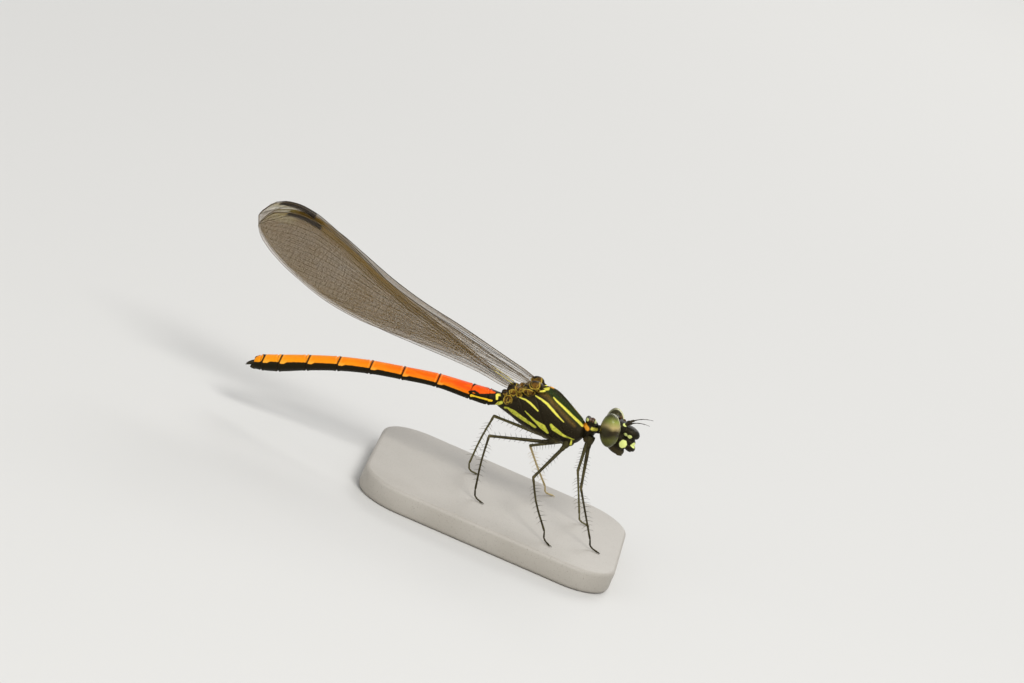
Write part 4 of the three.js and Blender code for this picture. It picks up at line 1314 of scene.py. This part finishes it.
def cells(wing, cell, draw, bar):
    """Short bars between neighbouring veins, and lines that join them from row to row."""
    lines = {"costa": [(0, 0.0), (1, 0.0)], **{name: pairs for name, (pairs, _) in VEINS.items()},
             "margin": [(0, 1.0), (1, 1.0)]}
    spot_start, spot_end = wing.plan["spot"]
    t = CELL_SPAN[0]
    last_step = 0.0
    previous = {}
    while t < CELL_SPAN[1]:
        live = [(name, float(np.clip(along(pairs, t), 0, 1))) for name, pairs in lines.items()
                if pairs[0][0] <= t <= pairs[-1][0]]
        live.sort(key=lambda entry: entry[1])
        step = cell * (1.15 if t < 0.4 else 0.9) / wing.length
        rungs = {}
        for (name, low), (other, high) in zip(live, live[1:]):
            gap = (high - low) * wing.chord(t)
            rows = max(1, round(gap / (cell * 0.95)))
            levels = [low + (high - low) * k / rows for k in range(rows + 1)]
            rungs[name, other] = levels
            before = previous.get((name, other), [])
            follows = len(before) == len(levels)
            if follows:
                for k in range(1, rows):
                    bar([(t - last_step, before[k]), (t, levels[k])], [CELL_VEIN] * 2, BAR_SIDES)
            if gap < 0.05:
                continue
            for k in range(rows):
                shift = draw.uniform(-0.3, 0.3) * step
                if follows:
                    shift -= 0.5 * step * ((k + len(name)) % 2)
                if spot_start < t < spot_end and levels[k] < 0.02:
                    continue
                bar([(t + shift, levels[k]), (t + shift, levels[k + 1])], [CELL_VEIN * 1.1] * 2, BAR_SIDES)
        previous = rungs
        last_step = step
        t += step


def wing_shape(plan, side, settings, seed):
    """The membrane, the veins, the cells and the dark spot, noted with their shares of length and chord."""
    wing = Wing(plan, side)
    shape = Shape()
    reach, chord = membrane(wing, side, settings.thickness / MM / 2, shape)

    def bar(places, radii, sides):
        """A vein through (share of length, share of chord) places."""
        shape.tube([wing.at(t, v) for t, v in places], radii, sides, 1)
        for shares, k in ((reach, 0), (chord, 1)):
            for place in places:
                shares.extend([place[k]] * sides)
            shares.extend((places[0][k], places[-1][k]))

    def vein(pairs, radius, taper=0.5, sides=6):
        """A main vein, which tapers by a share of its radius."""
        first, last = pairs[0][0], pairs[-1][0]
        ts = np.linspace(first, last, max(3, int((last - first) * wing.length / 0.3)))
        vs = np.clip(along(pairs, ts), 0, 1)
        radii = [radius * (1 - taper * (t - first) / (last - first + 1e-6)) for t in ts]
        bar(list(zip(ts.tolist(), vs.tolist())), radii, sides)

    vein([(t, 0.0) for t in EDGE_SPAN], 0.042, 0.35, 8)
    vein([(t, 1.0) for t in EDGE_SPAN], 0.02, 0.1)
    bar([(EDGE_SPAN[1], k / 4) for k in range(5)], [0.022] * 5, 6)
    for pairs, radius in VEINS.values():
        vein([(max(t, EDGE_SPAN[0]), v) for t, v in pairs], radius)
    cells(wing, settings.cell / MM, random.Random(seed), bar)
    # the dark spot near the tip is a thick cell between the front edge and the radius
    rings = []
    sides = 10
    turns = [2 * math.pi * k / sides for k in range(sides)]
    begin, end = plan["spot"]
    inset = 0.006
    for t in np.linspace(begin, end, 14).tolist():
        share = (t - begin) / (end - begin)
        stop = min(float(along(VEINS["radius"][0], t)), SPOT_DEPTH) - inset
        slant = 0.008 * (1 - 2 * abs(share - 0.5))
        across = [(inset + stop) / 2 + (stop - inset) / 2 * math.cos(a) for a in turns]
        rings.append([wing.at(t + slant * math.cos(a), v, SPOT_HALF * math.sin(a))
                      for a, v in zip(turns, across)])
        reach.extend([t] * sides)
        chord.extend(across)
    shape.loft(rings)
    reach.extend(plan["spot"])
    chord.extend((0.05, 0.05))
    shape.notes["reach"] = reach
    shape.notes["chord"] = chord
    return shape


def setae_shape():
    """Short fine hairs on the thorax, with a small patch of the map for each."""
    draw = random.Random(11)
    shape = Shape()
    patches = []
    for _ in range(HAIRS_TRIED):
        x = draw.uniform(-7.0, -0.2)
        degrees = draw.uniform(-150, 150)
        if abs(degrees) < BARE_BACK[0] and x < BARE_BACK[1]:
            continue
        here = thorax_point(x, degrees)
        away = (here - Vector((x, 0, 8.5))).normalized()
        size = draw.uniform(0.12, 0.26)
        stray = Vector((draw.uniform(-0.5, 0.1), draw.uniform(-0.2, 0.2), draw.uniform(-0.4, 0.2)))
        lean = (away + stray).normalized()
        path = [here - away * 0.03, here + lean * size * 0.6, here + lean * size]
        shape.tube(path, HAIR_RADII, 3)
        place = ((x + 7.5) / 8, (degrees + 180) / 360)
        patches += [place] * (len(shape.faces) - len(patches))
    return shape, patches


# Operators


class DAMSELFLY_OT_stage(bpy.types.Operator):
    """Adds the floor, the lights and the camera"""

    bl_idname = "damselfly.add_stage"
    bl_label = "Stage"

    def execute(self, context):
        settings = context.scene.damselfly_stage
        corners = [(x * FLOOR_HALF, y * FLOOR_HALF, 0) for x, y in ((-1, -1), (1, -1), (1, 1), (-1, 1))]
        mesh = bpy.data.meshes.new("studio_floor")
        mesh.from_pydata(corners, [], [(0, 1, 2, 3)])
        mesh.materials.append(floor_finish(settings))
        floor = shown("studio_floor", mesh)
        # plain colours, and enough see-through steps for four wings one behind the other
        context.scene.view_settings.view_transform = "Standard"
        context.scene.cycles.transparent_max_bounces = 24
        middle = (Vector(VIEW_MIDDLE) + ANIMAL) * MM
        for name, (place, size, power) in LAMPS.items():
            light = bpy.data.lights.new(name, "AREA")
            light.size = size
            light.energy = power
            lamp = shown(name, light)
            lamp.location = middle + Vector(place)
            lamp.rotation_euler = (middle - lamp.location).to_track_quat("-Z", "Y").to_euler()
        world = bpy.data.worlds.new("studio")
        world.use_nodes = True
        for socket, value in zip(world.node_tree.nodes["Background"].inputs, SKY):
            socket.default_value = value
        context.scene.world = world
        lens = bpy.data.cameras.new("camera")
        lens.sensor_width = 36
        lens.lens = lens.sensor_width * settings.distance / settings.width
        lens.clip_start = 0.01
        camera = shown("camera", lens)
        e, r = settings.elevation, settings.roll
        back = Vector((0, -math.cos(e), math.sin(e)))
        level, rise = Vector((1, 0, 0)), Vector((0, math.sin(e), math.cos(e)))
        right = level * math.cos(r) + rise * math.sin(r)
        up = rise * math.cos(r) - level * math.sin(r)
        turn = Matrix((right, up, back)).transposed().to_4x4()
        camera.matrix_world = Matrix.Translation(middle + back * settings.distance) @ turn
        context.scene.camera = camera
        return {"FINISHED"}


class DAMSELFLY_OT_thorax(bpy.types.Operator):
    """Adds the thorax with its hinges, the pronotum and the neck"""

    bl_idname = "damselfly.add_thorax"
    bl_label = "Thorax"

    def execute(self, context):
        settings = context.scene.damselfly_body
        placed("thorax_skin", thorax_shape(), [thorax_finish(settings)], ["thorax"])
        placed("pronotum_skin", pronotum_shape(), [pronotum_finish(settings)], ["prothorax", "neck"])
        hairs, patches = setae_shape()
        piece = placed("thorax_setae", hairs, [dark_finish("setae", (0.09, 0.07, 0.035), 0.5)])
        layer = piece.data.uv_layers.new(name="OFBake")
        for polygon, (u, v) in zip(piece.data.polygons, patches):
            for i, loop in enumerate(polygon.loop_indices):
                layer.data[loop].uv = (u + 0.003 * (i % 2), v + 0.003 * (i // 2))
        return {"FINISHED"}


class DAMSELFLY_OT_head(bpy.types.Operator):
    """Adds the head, the eyes and the antennae"""

    bl_idname = "damselfly.add_head"
    bl_label = "Head"

    def execute(self, context):
        settings = context.scene.damselfly_body
        turn = Matrix.Translation(HEAD) @ HEAD_TURN.to_4x4()
        placed("head_skin", head_shape(), [head_finish(settings)], ["head"], turn)
        glass = eye_finish()
        horn = dark_finish("antenna_horn", (0.012, 0.01, 0.007), 0.3)
        for name, side in SIDES.items():
            placed("eye_lens_" + name, eye_shape(side), [glass], ["eye_" + name], turn)
            placed("antenna_thread_" + name, antenna_shape(side), [horn], ["antenna_" + name], turn)
        beads = Shape()
        for centre, r in OCELLI:
            beads.egg(centre, (r, r, r), 0, 20, 14)
        placed("ocelli", beads, [dark_finish("ocellus", (0.08, 0.035, 0.01), 0.3)], (), turn)
        return {"FINISHED"}


class DAMSELFLY_OT_abdomen(bpy.types.Operator):
    """Adds the abdomen and its claspers"""

    bl_idname = "damselfly.add_abdomen"
    bl_label = "Abdomen"

    def execute(self, context):
        settings = context.scene.damselfly_body
        nodes = ["abdomen_%d" % i for i in range(1, len(ABDOMEN))]
        placed("abdomen_skin", abdomen_shape(), [abdomen_finish(settings)], nodes)
        horn = dark_finish("clasper_horn", (0.009, 0.007, 0.004), 0.3)
        for name, side in SIDES.items():
            placed("clasper_" + name, cercus_shape(side), [horn], ["cercus_" + name])
        return {"FINISHED"}


class DAMSELFLY_OT_legs(bpy.types.Operator):
    """Adds the six legs"""

    bl_idname = "damselfly.add_legs"
    bl_label = "Legs"

    def execute(self, context):
        settings = context.scene.damselfly_legs
        dark = leg_finish("leg_cuticle", 0.0)
        pale = leg_finish("leg_cuticle_pale", 0.9)
        for seed, (name, leg) in enumerate(LEGS.items()):
            finish = pale if name == "middle_left" else dark
            nodes = ["leg_%s_%s" % (name, part) for part in ("thigh", "shin")]
            placed("leg_" + name, leg_shape(leg, settings, seed), [finish], nodes)
        return {"FINISHED"}


class DAMSELFLY_OT_wings(bpy.types.Operator):
    """Adds the four wings"""

    bl_idname = "damselfly.add_wings"
    bl_label = "Wings"

    def execute(self, context):
        settings = context.scene.damselfly_wings
        seed = 40
        for pair, plan in WINGS.items():
            gold = 0.85 if pair == "hind" else 0.0
            finishes = [membrane_finish("wing_membrane_" + pair, settings, plan["spot"]),
                        vein_finish("wing_vein_" + pair, settings, gold)]
            for name, side in SIDES.items():
                seed += 1
                label = "%s_%s" % (pair, name)
                placed("wing_blade_" + label, wing_shape(plan, side, settings, seed), finishes,
                       ["wing_" + label])
        return {"FINISHED"}


class DAMSELFLY_OT_base(bpy.types.Operator):
    """Adds the display base"""

    bl_idname = "damselfly.add_base"
    bl_label = "Base"

    def execute(self, context):
        low, high = BASE_LOW / MM, BASE_HIGH / MM
        levels = [(inset, low.z + height) for inset, height in BASE_FOOT]
        levels += [(inset, high.z - depth) for inset, depth in BASE_RIM]
        rings = []
        for inset, z in levels:
            radius = BASE_CORNER - inset
            ring = []
            for sx, sy, first in ((1, 1, 0), (-1, 1, 90), (-1, -1, 180), (1, -1, 270)):
                middle = Vector((sx * (high.x - BASE_CORNER), sy * (high.y - BASE_CORNER), z)) - ANIMAL
                for k in range(CORNER_STEPS + 1):
                    a = math.radians(first + 90 * k / CORNER_STEPS)
                    ring.append(middle + Vector((radius * math.cos(a), radius * math.sin(a), 0)))
            rings.append(ring)
        placed("base_plate", Shape().loft(rings), [base_finish()], ["stand_base"])
        return {"FINISHED"}


class DAMSELFLY_PT_panel(bpy.types.Panel):
    """Lists the pieces and the settings"""

    bl_label = "Damselfly"
    bl_idname = "DAMSELFLY_PT_panel"
    bl_space_type = "VIEW_3D"
    bl_region_type = "UI"
    bl_category = "Damselfly"

    def draw(self, context):
        for operator in OPERATORS:
            self.layout.operator(operator.bl_idname)
        for name, group in SETTINGS.items():
            column = self.layout.column()
            for key in group.__annotations__:
                column.prop(getattr(context.scene, name), key)


SETTINGS = {
    "damselfly_stage": StageSettings,
    "damselfly_body": BodySettings,
    "damselfly_wings": WingSettings,
    "damselfly_legs": LegSettings,
}
OPERATORS = (
    DAMSELFLY_OT_stage,
    DAMSELFLY_OT_base,
    DAMSELFLY_OT_thorax,
    DAMSELFLY_OT_head,
    DAMSELFLY_OT_abdomen,
    DAMSELFLY_OT_legs,
    DAMSELFLY_OT_wings,
)


def register():
    for kind in (*SETTINGS.values(), *OPERATORS, DAMSELFLY_PT_panel):
        bpy.utils.register_class(kind)
    for name, group in SETTINGS.items():
        setattr(bpy.types.Scene, name, bpy.props.PointerProperty(type=group))


def unregister():
    for name in SETTINGS:
        delattr(bpy.types.Scene, name)
    for kind in (DAMSELFLY_PT_panel, *reversed(OPERATORS), *reversed(SETTINGS.values())):
        bpy.utils.unregister_class(kind)


def main():
    register()
    bpy.ops.damselfly.add_stage()
    bpy.ops.damselfly.add_base()
    bpy.ops.damselfly.add_thorax()
    bpy.ops.damselfly.add_head()
    bpy.ops.damselfly.add_abdomen()
    bpy.ops.damselfly.add_legs()
    bpy.ops.damselfly.add_wings()


if __name__ == "__main__":
    main()
